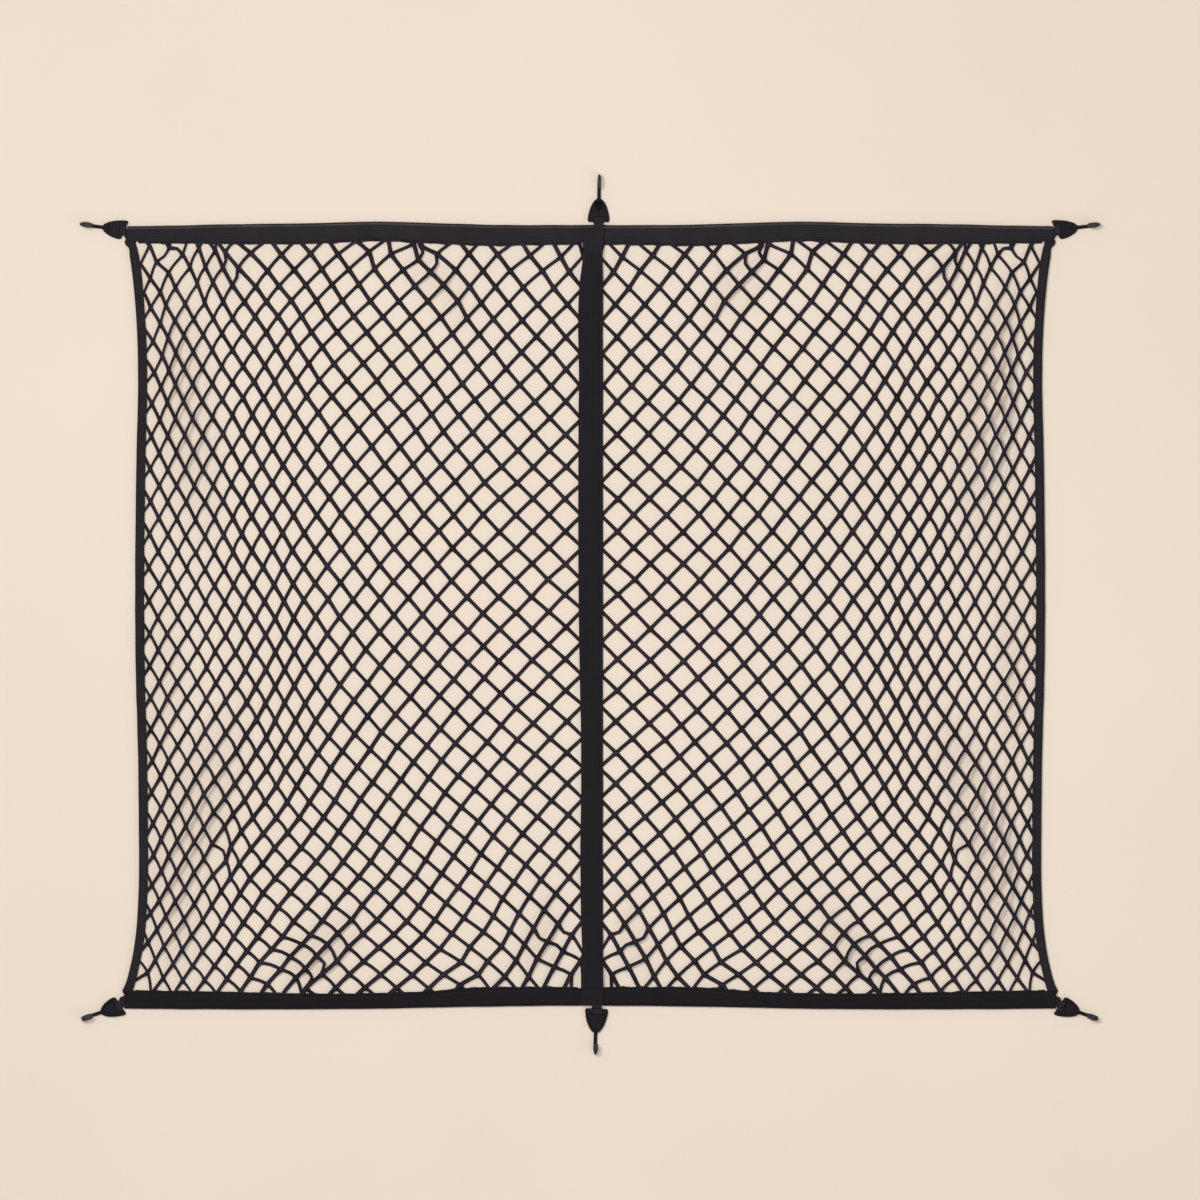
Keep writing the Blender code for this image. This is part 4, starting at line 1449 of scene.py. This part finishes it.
@dataclass
class FoldedStrip:
    """Webbing folded over the net's rim: a rounded fold, two layers and sewn open edges.

    Attributes:
        name: The piece's name.
        node: The CAD node that it replaces.
        slot: The record's slot of its finish.
        edges: Its two edges along its run.
        span: Where its run starts and ends.
        finish: The webbing's material.
        thread: The stitches' material.
        place: Turns a distance along, a distance across and a height into a point of the net.
        flat_width: Width of the webbing before it was folded; not used.
        step: Step along the run.
        stitch_inset: How far from the open edge it is sewn.
        fold_depth: Depth of the rounded fold.
        layer_steps: Points across the upper layer.
        fold_steps: Points round the fold.
        puff: How far the upper layer stands up between seam and fold.
        selvedge: Height of the woven edge's lip.
        rounding: How far the cut edges are rounded off.
        wave: How far the edges wander.
        mirrored: Whether the edges are given for one half of the run.
        bumps: Places where a cord's end under the open edge lifts it.
        tuck: Length of each end that is pressed flat inside a band.
    """

    name: str
    node: str
    slot: Slot
    edges: Sequence[BandEdge]
    span: tuple[float, float]
    finish: bpy.types.Material
    thread: bpy.types.Material
    place: Callable[[float, float, float], tuple[float, float, float]]
    flat_width: float
    step: float = 3.0
    stitch_inset: float = 3.0
    fold_depth: float = 2.6
    layer_steps: int = 12
    fold_steps: int = 8
    puff: float = 0.45
    selvedge: float = 0.18
    rounding: float = 0.35
    wave: float = 0.25
    mirrored: bool = True
    bumps: Sequence[float] = ()
    tuck: float = 0.0

    def edge(self, along: float, which: str) -> float:
        """The folded or open edge, with a small seeded unevenness.

        Args:
            along: Place along the run.
            which: The edge's name, folded or open.

        Returns:
            How far across the strip the edge lies.
        """
        at = abs(along) if self.mirrored else along
        stations = [edge.along for edge in self.edges]
        value = curve_through(stations, [getattr(edge, which) for edge in self.edges], at)
        shift = noise.noise(Vector((along * 0.035, SEED * (1.7 if which == "open" else 3.1), 0.0)))
        return value + self.wave * shift

    def top(self, along: float, share: float) -> float:
        """Height of the upper face, for a share of the width counted from the open edge.

        Args:
            along: Place along the run.
            share: Share of the strip's width.

        Returns:
            The height before pressing.
        """
        width = abs(self.edge(along, "open") - self.edge(along, "folded"))
        inset = share * width
        puff = self.puff * smooth_step((inset - self.stitch_inset) / 2.5) * smooth_step((width - inset) / 3.0)
        dip = -0.30 * math.exp(-((inset - self.stitch_inset) / 0.9) ** 2)
        lip = self.selvedge * math.exp(-((inset - 0.7) / 0.7) ** 2)
        joint = sum(math.exp(-((along - bump) / 4.0) ** 2) for bump in self.bumps)
        lift = (0.55 * joint - 0.15) * smooth_step(1.0 - inset / 5.5)
        uneven = 0.16 * noise.noise(Vector((along * 0.05, inset * 0.12, SEED)))
        return FOLD_HEIGHT + puff + dip + lip + lift + uneven - 0.25

    def pressed(self, along: float, height: float) -> float:
        """A height of the section after the bands have pressed the strip's tucked ends.

        Args:
            along: Place along the run.
            height: The height before.

        Returns:
            The height, nearer the section's middle towards a tucked end.
        """
        inside = min(along - min(self.span), max(self.span) - along)
        kept = 1.0 if not self.tuck else 0.42 + 0.58 * smooth_step((inside - self.tuck + 1.0) / 9.0)
        return FOLD_HEIGHT / 2 + (height - FOLD_HEIGHT / 2) * kept

    def ring(self, along: float) -> list[tuple[float, float, float]]:
        """Closed cross-section: lower face, fold and upper face, and back along the inside.

        Args:
            along: Place along the run.

        Returns:
            The section's points on the net.
        """
        opening, folded = self.edge(along, "open"), self.edge(along, "folded")
        inward = 1.0 if opening > folded else -1.0
        width = abs(opening - folded)
        outer, inner = [], []
        for k in range(self.layer_steps // 2 + 1):
            share = k / (self.layer_steps // 2) * (1 - self.fold_depth / width)
            outer.append((opening - inward * share * width, 0.0))
            inner.append((opening - inward * share * width, WEBBING))
        top_start = self.top(along, 1 - self.fold_depth / width)
        for k in range(1, self.fold_steps):
            angle = math.pi * k / self.fold_steps
            bulge = math.sin(angle) ** 0.8
            height = (1 - math.cos(angle)) / 2
            outer.append((folded + inward * self.fold_depth * (1 - bulge), top_start * height))
            inner.append((folded + inward * (WEBBING + (self.fold_depth - WEBBING) * (1 - bulge)),
                          WEBBING + (top_start - 2 * WEBBING) * height))
        for k in range(self.layer_steps + 1):
            share = (1 - k / self.layer_steps) * (1 - self.fold_depth / width)
            height = self.top(along, share)
            outer.append((opening - inward * share * width, height))
            inner.append((opening - inward * share * width, height - WEBBING))
        first, last = outer[0], outer[-1]
        for layer in (outer, inner):
            for end, corner in ((0, first), (-1, last)):
                layer[end] = (corner[0] - inward * self.rounding, layer[end][1])
        loop = ([(first[0], WEBBING / 2)] + outer
                + [(last[0], last[1] - WEBBING / 2)] + inner[::-1])
        return [self.place(along, across, self.pressed(along, height)) for across, height in loop]

    def build(self) -> bpy.types.Object:
        """Build the strip and its stitches.

        Returns:
            The strip.
        """
        stations = spaced(*self.span, self.step)
        rings = [self.ring(along) for along in stations]
        around = running_lengths(rings[len(rings) // 2], closed=True)
        crest = around[1 + self.layer_steps // 2 + self.fold_steps]
        work = MeshWork()
        work.add_rings(rings, [mark - crest for mark in around], stations)
        strip = enrol(work.to_object(self.name, self.finish, SHARP_EDGE), self.slot, self.node)
        seam = Seam(self.thread)
        seam.sew([self.seam_point(along) for along in stations[1:-1]])
        stitches = seam.finish_piece(f"{self.name}_stitches", self.slot)
        return strip

    def seam_point(self, along: float) -> Vector:
        """Where the seam lies on the upper face, at a distance along the strip.

        Args:
            along: Place along the run.

        Returns:
            The point on the net.
        """
        opening, folded = self.edge(along, "open"), self.edge(along, "folded")
        across = opening - math.copysign(self.stitch_inset, opening - folded)
        height = self.top(along, self.stitch_inset / abs(opening - folded))
        return Vector(self.place(along, across, self.pressed(along, height)))


@dataclass
class CentreStrap:
    """The strap from band to band: woven edges, a slight crown, and stitches along and across it.

    Attributes:
        finish: The webbing's material.
        thread: The stitches' material.
        cut: The strap's flat width and length, in metres; not used.
        step: Step along the strap.
        steps_across: Steps across it.
        stitch_inset: How far from its edges it is sewn.
        rounding: How far its edges are rounded off.
        cross_seams: Heights up the net at which it is sewn to the bands.
        seam_steps: Steps along a cross seam.
    """

    finish: bpy.types.Material
    thread: bpy.types.Material
    cut: tuple[float, float] = (0.0228, 0.762)
    step: float = 3.0
    steps_across: int = 14
    stitch_inset: float = 2.2
    rounding: float = 0.3
    cross_seams: tuple[float, ...] = (373.8, 364.5, -366.0, -376.4)
    seam_steps: int = 8

    def edges(self, y: float) -> tuple[float, float]:
        """Left and right edge at a height, a little uneven.

        Args:
            y: Height up the net.

        Returns:
            X of the two edges.
        """
        levels = [edge.y for edge in STRAP]
        shift = 0.3 * noise.noise(Vector((y * 0.02, SEED, 0.0)))
        return (curve_through(levels, [edge.left for edge in STRAP], y) + shift,
                curve_through(levels, [edge.right for edge in STRAP], y) + shift)

    def face(self, y: float, share: float) -> float:
        """Height of the upper face, for a share of the width from the left edge.

        Args:
            y: Height up the net.
            share: Share of the strap's width.

        Returns:
            The height.
        """
        edge = min(share, 1 - share) * STRAP_WIDTH
        crown = 0.25 * smooth_step(edge / 5.0) - 0.22 * math.exp(-((edge - self.stitch_inset) / 0.8) ** 2)
        lip = 0.2 * math.exp(-((edge - 0.7) / 0.7) ** 2)
        uneven = 0.2 * noise.noise(Vector((y * 0.03, share * 2.0, SEED * 2.0)))
        return strap_height(y) + WEBBING + crown + lip + uneven * smooth_step(edge / 4.0)

    def ring(self, y: float) -> list[tuple[float, float, float]]:
        """Closed cross-section of the strap.

        Args:
            y: Height up the net.

        Returns:
            The section's points.
        """
        left, right = self.edges(y)
        upper, lower = [], []
        for k in range(self.steps_across + 1):
            share = k / self.steps_across
            x = left + (right - left) * share
            x += self.rounding * ((k == 0) - (k == self.steps_across))
            upper.append((x, y, self.face(y, share)))
            lower.append((x, y, self.face(y, share) - WEBBING))
        mid_left, mid_right = upper[0][2] - WEBBING / 2, upper[-1][2] - WEBBING / 2
        return [(left, y, mid_left)] + upper + [(right, y, mid_right)] + lower[::-1]

    def build(self) -> bpy.types.Object:
        """Build the strap and its stitches.

        Returns:
            The strap.
        """
        stations = spaced(STRAP[0].y, STRAP[-1].y, self.step)
        rings = [self.ring(y) for y in stations]
        work = MeshWork()
        work.add_rings(rings, running_lengths(rings[len(rings) // 2], closed=True), stations)
        strap = enrol(work.to_object("strap_centre", self.finish, SHARP_EDGE), Slot.STRAP, "centre_strap")
        seam = Seam(self.thread)
        inset = self.stitch_inset / STRAP_WIDTH
        for share in (inset, 1 - inset):
            seam.sew([self.point(y, share) for y in stations[1:-1]])
        for y in self.cross_seams:
            seam.sew([self.point(y, inset + (1 - 2 * inset) * k / self.seam_steps)
                      for k in range(self.seam_steps + 1)])
        stitches = seam.finish_piece("strap_centre_stitches", Slot.STRAP)
        return strap

    def point(self, y: float, share: float) -> Vector:
        """A point on the upper face."""
        left, right = self.edges(y)
        return Vector((left + (right - left) * share, y, self.face(y, share)))


# ---- hooks and tabs ---------------------------------------------------------------------------------------
@dataclass
class HookTab:
    """Short webbing tab turned round a hook's bar.

    Attributes:
        hook: The hook that it holds.
        finish: The webbing's material.
        width: The tab's width round the bar.
        leg_width: Width to which its legs are drawn together.
        legs: Length of its legs from the hook's wide end.
        turn: How far the turns at the bar's corners are eased.
        between: Stations from one point of the path to the next.
        section: Outline of the webbing, as shares of half its width and of its thickness.
        marks: The map's value at each point of the outline, and once more where it closes.
    """

    hook: Hook
    finish: bpy.types.Material
    width: float = 10.8
    leg_width: float = 9.2
    legs: float = 16.0
    turn: float = 0.45
    between: int = 4
    section: tuple[tuple[float, float], ...] = (
        (-1.0, 0.0), (-0.95, 0.38), (-0.6, 0.5), (0.0, 0.5), (0.6, 0.5), (0.95, 0.38),
        (1.0, 0.0), (0.95, -0.38), (0.6, -0.5), (0.0, -0.5), (-0.6, -0.5), (-0.95, -0.38))
    marks: tuple[float, ...] = (0.0, 0.7, 2.6, 5.4, 8.2, 10.3, 10.8, 11.5, 13.4, 16.2, 19.0, 21.1, 21.8)

    def path(self) -> list[tuple[float, float]]:
        """The tab's middle seen from the side, as (along, height): down, round the bar and back.

        Returns:
            The points, from the end of the lower leg to the end of the upper one.
        """
        gap, half = CLEARANCE + TAB_THICKNESS, TAB_THICKNESS / 2
        under = BAR_BOTTOM - CLEARANCE - half
        over = BAR_TOP + CLEARANCE + half
        front = BAR_LENGTH + CLEARANCE + half
        if self.hook.on_band:
            lower = FOLD_HEIGHT + CLEARANCE + half
            down = [(-4.3, lower), (-3.2, lower - 0.5), (-2.6, lower - 1.5),
                    (-2.3, under + 2.6), (-1.6, under + 1.0)]
            back = [(-0.9, over + 0.6), (-2.0, lower + gap - 0.9), (-3.4, lower + gap - 0.1)]
        else:
            lower = FOLD_HEIGHT / 2 - gap / 2
            down = [(-2.2, lower), (-1.4, (lower + under) / 2)]
            back = [(-1.8, (lower + gap + over) / 2), (-2.8, lower + gap)]
        return ([(-self.legs, lower)] + down
                + [(-0.5, under), (front - self.turn, under), (front, under + self.turn),
                   (front, over - self.turn), (front - self.turn, over), (-0.4, over)]
                + back + [(-self.legs, lower + gap)])

    def build(self) -> bpy.types.Object:
        """Build the tab as a thin closed band with rounded edges.

        Returns:
            The tab.
        """
        path = self.path()
        stations = list(range(len(path)))
        reads = [k / self.between for k in range((len(path) - 1) * self.between + 1)]
        smooth = [tuple(curve_through(stations, values, at) for values in zip(*path)) for at in reads]
        placed = self.hook.placed()
        rings = []
        for k, (x, z) in enumerate(smooth):
            before, after = smooth[max(k - 1, 0)], smooth[min(k + 1, len(smooth) - 1)]
            ahead = Vector((after[0] - before[0], 0.0, after[1] - before[1])).normalized()
            up = Vector((-ahead.z, 0.0, ahead.x))
            drawn = smooth_step(-(x + 0.6) / 2.0)
            half = (self.width + (self.leg_width - self.width) * drawn) / 2
            middle = Vector((x, self.hook.leg_shift * drawn, z))
            rings.append([placed @ (middle + Vector((0.0, across * half, 0.0)) + up * lift * TAB_THICKNESS)
                          for across, lift in self.section])
        along = running_lengths([Vector((*point, 0.0)) for point in smooth])
        work = MeshWork()
        work.add_rings(rings, self.marks, along)
        name = self.hook.name
        tab = enrol(work.to_object(f"loop_{name}", self.finish, SHARP_EDGE), Slot.TAB, f"tab_{name}")
        return tab


@dataclass
class MouldedHook:
    """A moulded hook: a crowned, spade-shaped body and a J-shaped wire that stands upright.

    Attributes:
        hook: The hook's place and shape.
        finish: The plastic.
        height: Height of the body.
        slot_length: Length of the slot between bar and body.
        slot_width: Width of the slot and of the bar's notches.
        cut_past: How far the notches are cut past the body.
        rim_width: Width of the raised rim.
        rim_depth: Depth inside it.
        stem_floor: Height of the stem's underside.
        stem_height: Thickness of the wire seen from the side.
        stem_width: Width of the stem.
        stem_sides: Faces round the wire.
        squareness: Power that rounds the wire's corners; 1 is a full round.
        tip_round: Length in which the arm's end is rounded off.
        curl_inside: Radius inside the curl.
        curl_straight: Straight length in the curl's middle.
        turn_steps: Steps in each quarter turn.
        steps_along: Steps along the body.
        steps_across: Steps across it.
    """

    hook: Hook
    finish: bpy.types.Material
    height: float = 5.4
    slot_length: float = 1.5
    slot_width: float = 11.0
    cut_past: float = 3.0
    rim_width: float = 2.2
    rim_depth: float = 0.9
    stem_floor: float = 0.8
    stem_height: float = 3.4
    stem_width: float = 3.5
    stem_sides: int = 16
    squareness: float = 0.6
    tip_round: float = 2.2
    curl_inside: float = 2.2
    curl_straight: float = 2.4
    turn_steps: int = 8
    steps_along: int = 34
    steps_across: int = 28

    def half_width(self, s: float) -> float:
        """Half the body's width at a distance from its wide end."""
        spade = self.hook.width / 2 * max(1.0 - (max(s, 0.0) / self.hook.length) ** 1.7, 0.0) ** 0.52
        return spade - 1.1 * (1.0 - smooth_step((s + 0.9) / 2.0))

    def relief(self, s: float, y: float) -> float:
        """How far the upper face is sunk or crowned at a point of the body.

        Args:
            s: Distance from the wide end.
            y: Distance to the left.

        Returns:
            The change of height.
        """
        half = max(self.half_width(s), 0.01)
        inset = min(half - abs(y), (self.hook.length - s) * 0.8)
        value = 0.35 * smooth_step(inset / 7.0)
        if self.hook.face is HookFace.RIMMED:
            start = BAR_LENGTH + self.slot_length - 0.8
            inside = smooth_step((inset - self.rim_width) / 0.9) * smooth_step((s - start) / 0.9)
            value -= self.rim_depth * inside
        elif self.hook.face is HookFace.FLUTED:
            fan = math.atan2(y, self.hook.length + 4.0 - s)
            groove = 0.5 + 0.5 * math.cos(fan * 2 * math.pi / 0.14)
            value -= 0.55 * groove ** 2 * smooth_step((inset - 1.4) / 1.2) * smooth_step((s - 7.0) / 2.0)
        else:
            value -= 0.8 * math.exp(-((s - self.hook.length + 5.5) / 1.3) ** 2 - (y / 1.3) ** 2)
        return value

    def body(self) -> bpy.types.Object:
        """The body as a closed loft from its wide end to its tip.

        Returns:
            The body, in the hook's own axes.
        """
        work = MeshWork()
        rings = []
        for i in range(self.steps_along + 1):
            t = i / self.steps_along
            quarter = math.pi / 2 * 0.985
            s = -0.6 + (self.hook.length + 0.6) * math.sin(t * quarter) / math.sin(quarter)
            half = max(self.half_width(s), 0.25)
            top, bottom = [], []
            for j in range(self.steps_across + 1):
                share = -math.cos(math.pi * j / self.steps_across)
                y = half * share
                inset = min(half - abs(y), self.hook.length - s + 0.5, s + 1.2)
                edge = math.sqrt(max(1.0 - max(1.0 - inset / 1.1, 0.0) ** 2, 0.0))
                middle = self.height / 2
                sheared = s - self.hook.slant * y * (1 - s / self.hook.length)
                top.append((sheared, y, middle + (self.height / 2 + self.relief(s, y)) * edge))
                bottom.append((sheared, y, middle - self.height / 2 * edge))
            rings.append(top + bottom[-2:0:-1])
        work.add_rings(rings, range(len(rings[0]) + 1), range(len(rings)))
        return work.to_object(f"body_{self.hook.name}", self.finish)

    def wire(self) -> bpy.types.Object:
        """The J: a rounded bar swept along a stem, a curl and the returning arm.

        Returns:
            The wire, in the hook's own axes.
        """
        radius = self.curl_inside + self.stem_height / 2
        low = self.stem_floor + self.stem_height / 2
        turn = self.hook.reach - self.curl_inside - self.stem_height
        high = low + 2 * radius + self.curl_straight
        leaf = self.hook.leaf_length
        tip = self.hook.reach - leaf
        root = self.hook.length - 4.0
        quarter = [math.pi / 2 * k / self.turn_steps for k in range(self.turn_steps + 1)]
        line = [(root + (turn - root) * k / 6, low) for k in range(6)]
        line += [(turn + radius * math.sin(a), low + radius * (1 - math.cos(a))) for a in quarter]
        line += [(turn + radius * math.cos(a), high - radius + radius * math.sin(a)) for a in quarter]
        line += [(turn + (tip - turn) * k / 8, high) for k in range(1, 9)]
        lean = math.radians(self.hook.lean)
        rings = []
        for k, (s, z) in enumerate(line):
            before, after = line[max(k - 1, 0)], line[min(k + 1, len(line) - 1)]
            ahead = Vector((after[0] - before[0], 0.0, after[1] - before[1])).normalized()
            up = Vector((-ahead.z, 0.0, ahead.x))
            rise = smooth_step((z - low - radius) / (radius + self.curl_straight))
            ends = math.cos(math.pi * (s - self.hook.reach + leaf / 2) / (leaf * 1.5))
            width = self.stem_width + (self.hook.leaf_width - self.stem_width) * rise * max(ends, 0.0)
            width *= 1.0 - self.hook.point * smooth_step((s - turn) / (self.hook.reach - turn))
            to_tip = max((tip + self.tip_round - s) / self.tip_round, 0.0)
            close = math.sqrt(max(1.0 - to_tip ** 2, 0.02)) if rise > 0.9 else 1.0
            ring = []
            for j in range(self.stem_sides):
                angle = 2 * math.pi * (j + 0.5) / self.stem_sides
                out, lift = (math.copysign(abs(part) ** self.squareness, part)
                             for part in (math.cos(angle), math.sin(angle)))
                point = Vector((s, width / 2 * close * out, z)) + up * (self.stem_height / 2 * close * lift)
                point.y += (point.z - low) * math.tan(lean)
                ring.append(tuple(point))
            rings.append(ring)
        work = MeshWork()
        work.add_rings(rings, range(self.stem_sides + 1), range(len(rings)))
        return work.to_object(f"wire_{self.hook.name}", self.finish)

    def cutter(self, low: Sequence[float], high: Sequence[float]) -> bpy.types.Object:
        """A box-shaped cutter between two corners, with its edges eased.

        Args:
            low: Its lowest corner in millimetres.
            high: Its highest corner.

        Returns:
            The cutter.
        """
        cut = bmesh.new()
        bmesh.ops.create_cube(cut, size=1.0)
        first, second = Vector(low) * MM, Vector(high) * MM
        for vert in cut.verts:
            vert.co = (first + second) / 2 + Vector(a * b for a, b in zip(vert.co, second - first))
        bmesh.ops.bevel(cut, geom=cut.edges[:], offset=0.3 * MM, segments=2, affect="EDGES")
        mesh = bpy.data.meshes.new("cutter")
        cut.to_mesh(mesh)
        cut.free()
        obj = bpy.data.objects.new("cutter", mesh)
        bpy.context.scene.collection.objects.link(obj)
        return obj

    def build(self) -> bpy.types.Object:
        """Cut the slot and the bar's notches, join the wire, and set the hook in its place.

        Returns:
            The hook.
        """
        body = self.body()
        half, above = self.slot_width / 2, self.height + self.cut_past
        front, slot_end = BAR_LENGTH + 0.5, BAR_LENGTH + self.slot_length
        others = [
            (self.cutter((-5.0, -half, BAR_TOP), (front, half, above)), "DIFFERENCE"),
            (self.cutter((-5.0, -half, -2.0), (front, half, BAR_BOTTOM)), "DIFFERENCE"),
            (self.cutter((BAR_LENGTH, -half, -2.0), (slot_end, half, above)), "DIFFERENCE"),
            (self.wire(), "UNION"),
        ]
        for other, operation in others:
            boolean = body.modifiers.new(operation.lower(), "BOOLEAN")
            boolean.operation = operation
            boolean.object = other
        bpy.context.view_layer.update()
        mesh = bpy.data.meshes.new_from_object(body.evaluated_get(bpy.context.evaluated_depsgraph_get()))
        body.modifiers.clear()
        body.data = mesh
        for other, _ in others:
            bpy.data.objects.remove(other, do_unlink=True)
        mesh.transform(self.hook.placed(MM))
        mesh.shade_smooth()
        mesh.set_sharp_from_angle(angle=math.radians(50.0))
        return enrol(body, Slot.HOOK, f"hook_{self.hook.name}")


# ---- studio -----------------------------------------------------------------------------------------------
@dataclass
class Studio:
    """The pale surface, soft lights and the camera looking straight down.

    Attributes:
        pixel: Millimetres of the net in a pixel of the picture.
        centre_px: The pixel that the net's middle lies on.
        picture_px: The picture's width and height in pixels.
        camera_height: Height of the camera in metres.
        sensor: Width of its sensor.
        lamps: The soft lights.
        sky: Colour of the light from all round.
        sky_strength: Its strength.
    """

    pixel: float = 0.973
    centre_px: tuple[float, float] = (590.1, 614.6)
    picture_px: int = 1200
    camera_height: float = 8.0
    sensor: float = 36.0
    lamps: tuple[Lamp, ...] = (
        Lamp("key", (-0.95, 0.7, 3.5), 0.6, 46.0, (1.0, 0.985, 0.97)),
        Lamp("overhead", (-0.1, 0.1, 3.8), 1.0, 68.0, (1.0, 0.99, 0.98)),
        Lamp("fill", (1.9, -1.0, 2.6), 2.2, 14.0, (1.0, 0.99, 0.99)),
    )
    sky: tuple[float, float, float] = (0.95, 0.92, 0.92)
    sky_strength: float = 0.22

    def floor(self) -> None:
        """A wide plain surface under the net."""
        work = bmesh.new()
        bmesh.ops.create_grid(work, x_segments=8, y_segments=8, size=6.0)
        mesh = bpy.data.meshes.new("floor")
        work.to_mesh(mesh)
        work.free()
        mesh.materials.append(FloorFinish("pale_surface").make())
        obj = bpy.data.objects.new("floor", mesh)
        obj.location.z = -0.0002
        bpy.context.scene.collection.objects.link(obj)

    def light(self, lamp: Lamp) -> None:
        """A square soft light aimed at the net's middle.

        Args:
            lamp: Where the light stands and how it shines.
        """
        data = bpy.data.lights.new(lamp.name, "AREA")
        data.shape = "SQUARE"
        data.size = lamp.size
        data.energy = lamp.power
        data.color = lamp.colour
        obj = bpy.data.objects.new(lamp.name, data)
        obj.location = lamp.place
        obj.rotation_euler = (-Vector(lamp.place)).to_track_quat("-Z", "Y").to_euler()
        obj.visible_camera = False
        bpy.context.scene.collection.objects.link(obj)

    def camera(self) -> None:
        """The camera, framed as the photograph is."""
        data = bpy.data.cameras.new("camera")
        data.sensor_width = self.sensor
        frame_width = self.picture_px * self.pixel * MM
        data.lens = self.sensor * self.camera_height / frame_width
        obj = bpy.data.objects.new("camera", data)
        half = self.picture_px / 2
        obj.location = ((half - self.centre_px[0]) * self.pixel * MM,
                        (self.centre_px[1] - half) * self.pixel * MM, self.camera_height)
        bpy.context.scene.collection.objects.link(obj)
        bpy.context.scene.camera = obj

    def build(self) -> None:
        """Set up floor, lights and camera."""
        self.floor()
        for lamp in self.lamps:
            self.light(lamp)
        world = bpy.data.worlds.new("studio")
        world.use_nodes = True
        background = world.node_tree.nodes["Background"]
        background.inputs["Color"].default_value = (*self.sky, 1.0)
        background.inputs["Strength"].default_value = self.sky_strength
        bpy.context.scene.world = world
        bpy.context.scene.view_settings.view_transform = "Standard"
        self.camera()


@dataclass
class Borders:
    """The net's border: a band above, a band below and a binding down each side.

    Attributes:
        lie: How the net lies, for the cords' ends under the top band.
        materials: The finishes by name.
        band_cut: Width of the bands' webbing before it was folded.
        binding_cut: Width of the bindings' tape before it was folded.
        tuck: Length of a binding's end inside a band.
    """

    lie: NetLie
    materials: dict[str, bpy.types.Material]
    band_cut: float = 36.0
    binding_cut: float = 20.0
    tuck: float = 7.0

    def bands(self) -> None:
        """Build the bands; the cords' ends lift the top band's open edge a little."""
        ends = [self.lie.crossing(k + 0.5, 0.0)[0] for k in range(SECTION_COLUMNS[-1])]
        ends += [self.lie.right_hand(x) for x in ends]
        for name, band, bumps in (("top", TOP_BAND, ends), ("bottom", BOTTOM_BAND, ())):
            end = band[-1].along
            FoldedStrip(f"webbing_{name}", f"band_{name}", Slot.BAND, band, (-end, end),
                        self.materials[f"band_{name}"], self.materials["thread"],
                        lambda along, across, height: (along, across, height), self.band_cut,
                        bumps=bumps).build()

    def bindings(self) -> None:
        """Build the bindings, their ends tucked into the bands."""
        top, bottom = BINDING_ENDS
        for side in Side:
            word = side.name.lower()
            FoldedStrip(f"tape_{word}", f"binding_{word}", Slot.BINDING, BINDING,
                        (bottom - self.tuck, top + self.tuck),
                        self.materials["binding"], self.materials["thread"],
                        lambda along, across, height, sign=side.value: (sign * across, along, height),
                        self.binding_cut, stitch_inset=2.4, fold_depth=2.0, layer_steps=10, puff=0.2,
                        mirrored=False, tuck=self.tuck).build()

    def build(self) -> None:
        """Build all four strips."""
        self.bands()
        self.bindings()


def main() -> None:
    """Build every sub-assembly of the net in order."""
    logging.basicConfig(level=logging.INFO, format="%(name)s: %(message)s")
    # Blender starts its noise with another seed each run, and the crossings' wander is drawn from it
    noise.seed_set(SEED)
    Studio().build()
    materials = {
        "cord": CordFinish("braided_cord").make(),
        # the upper band carries a painted highlight along its fold's crest
        "band_top": WebbingFinish("upper_band_weave", light=(0.020, 0.0160, 0.0225),
                                  fold_highlight=(0.085, 0.074, 0.085)).make(),
        "band_bottom": WebbingFinish("lower_band_weave", light=(0.010, 0.0078, 0.011), gloss=0.12).make(),
        "binding": WebbingFinish("tape_weave", light=(0.021, 0.0165, 0.022), rib=1.6, pick=0.7).make(),
        "strap": WebbingFinish("strap_weave", light=(0.010, 0.0082, 0.0118), rib=2.4, pick=0.9, gloss=0.14,
                               paler_top=(0.0225, 0.0180, 0.0245)).make(),
        "tab": WebbingFinish("tab_weave", rib=1.5, pick=0.8).make(),
        "thread": ThreadFinish("sewing_thread").make(),
        "plastic": PlasticFinish("hook_moulding").make(),
    }
    for side in Side:
        CordNet(side, NetLie(), materials["cord"]).build()
    Borders(NetLie(), materials).build()
    CentreStrap(materials["strap"], materials["thread"]).build()
    for hook in HOOKS:
        MouldedHook(hook, materials["plastic"]).build()
        HookTab(hook, materials["tab"]).build()


if __name__ == "__main__":
    main()
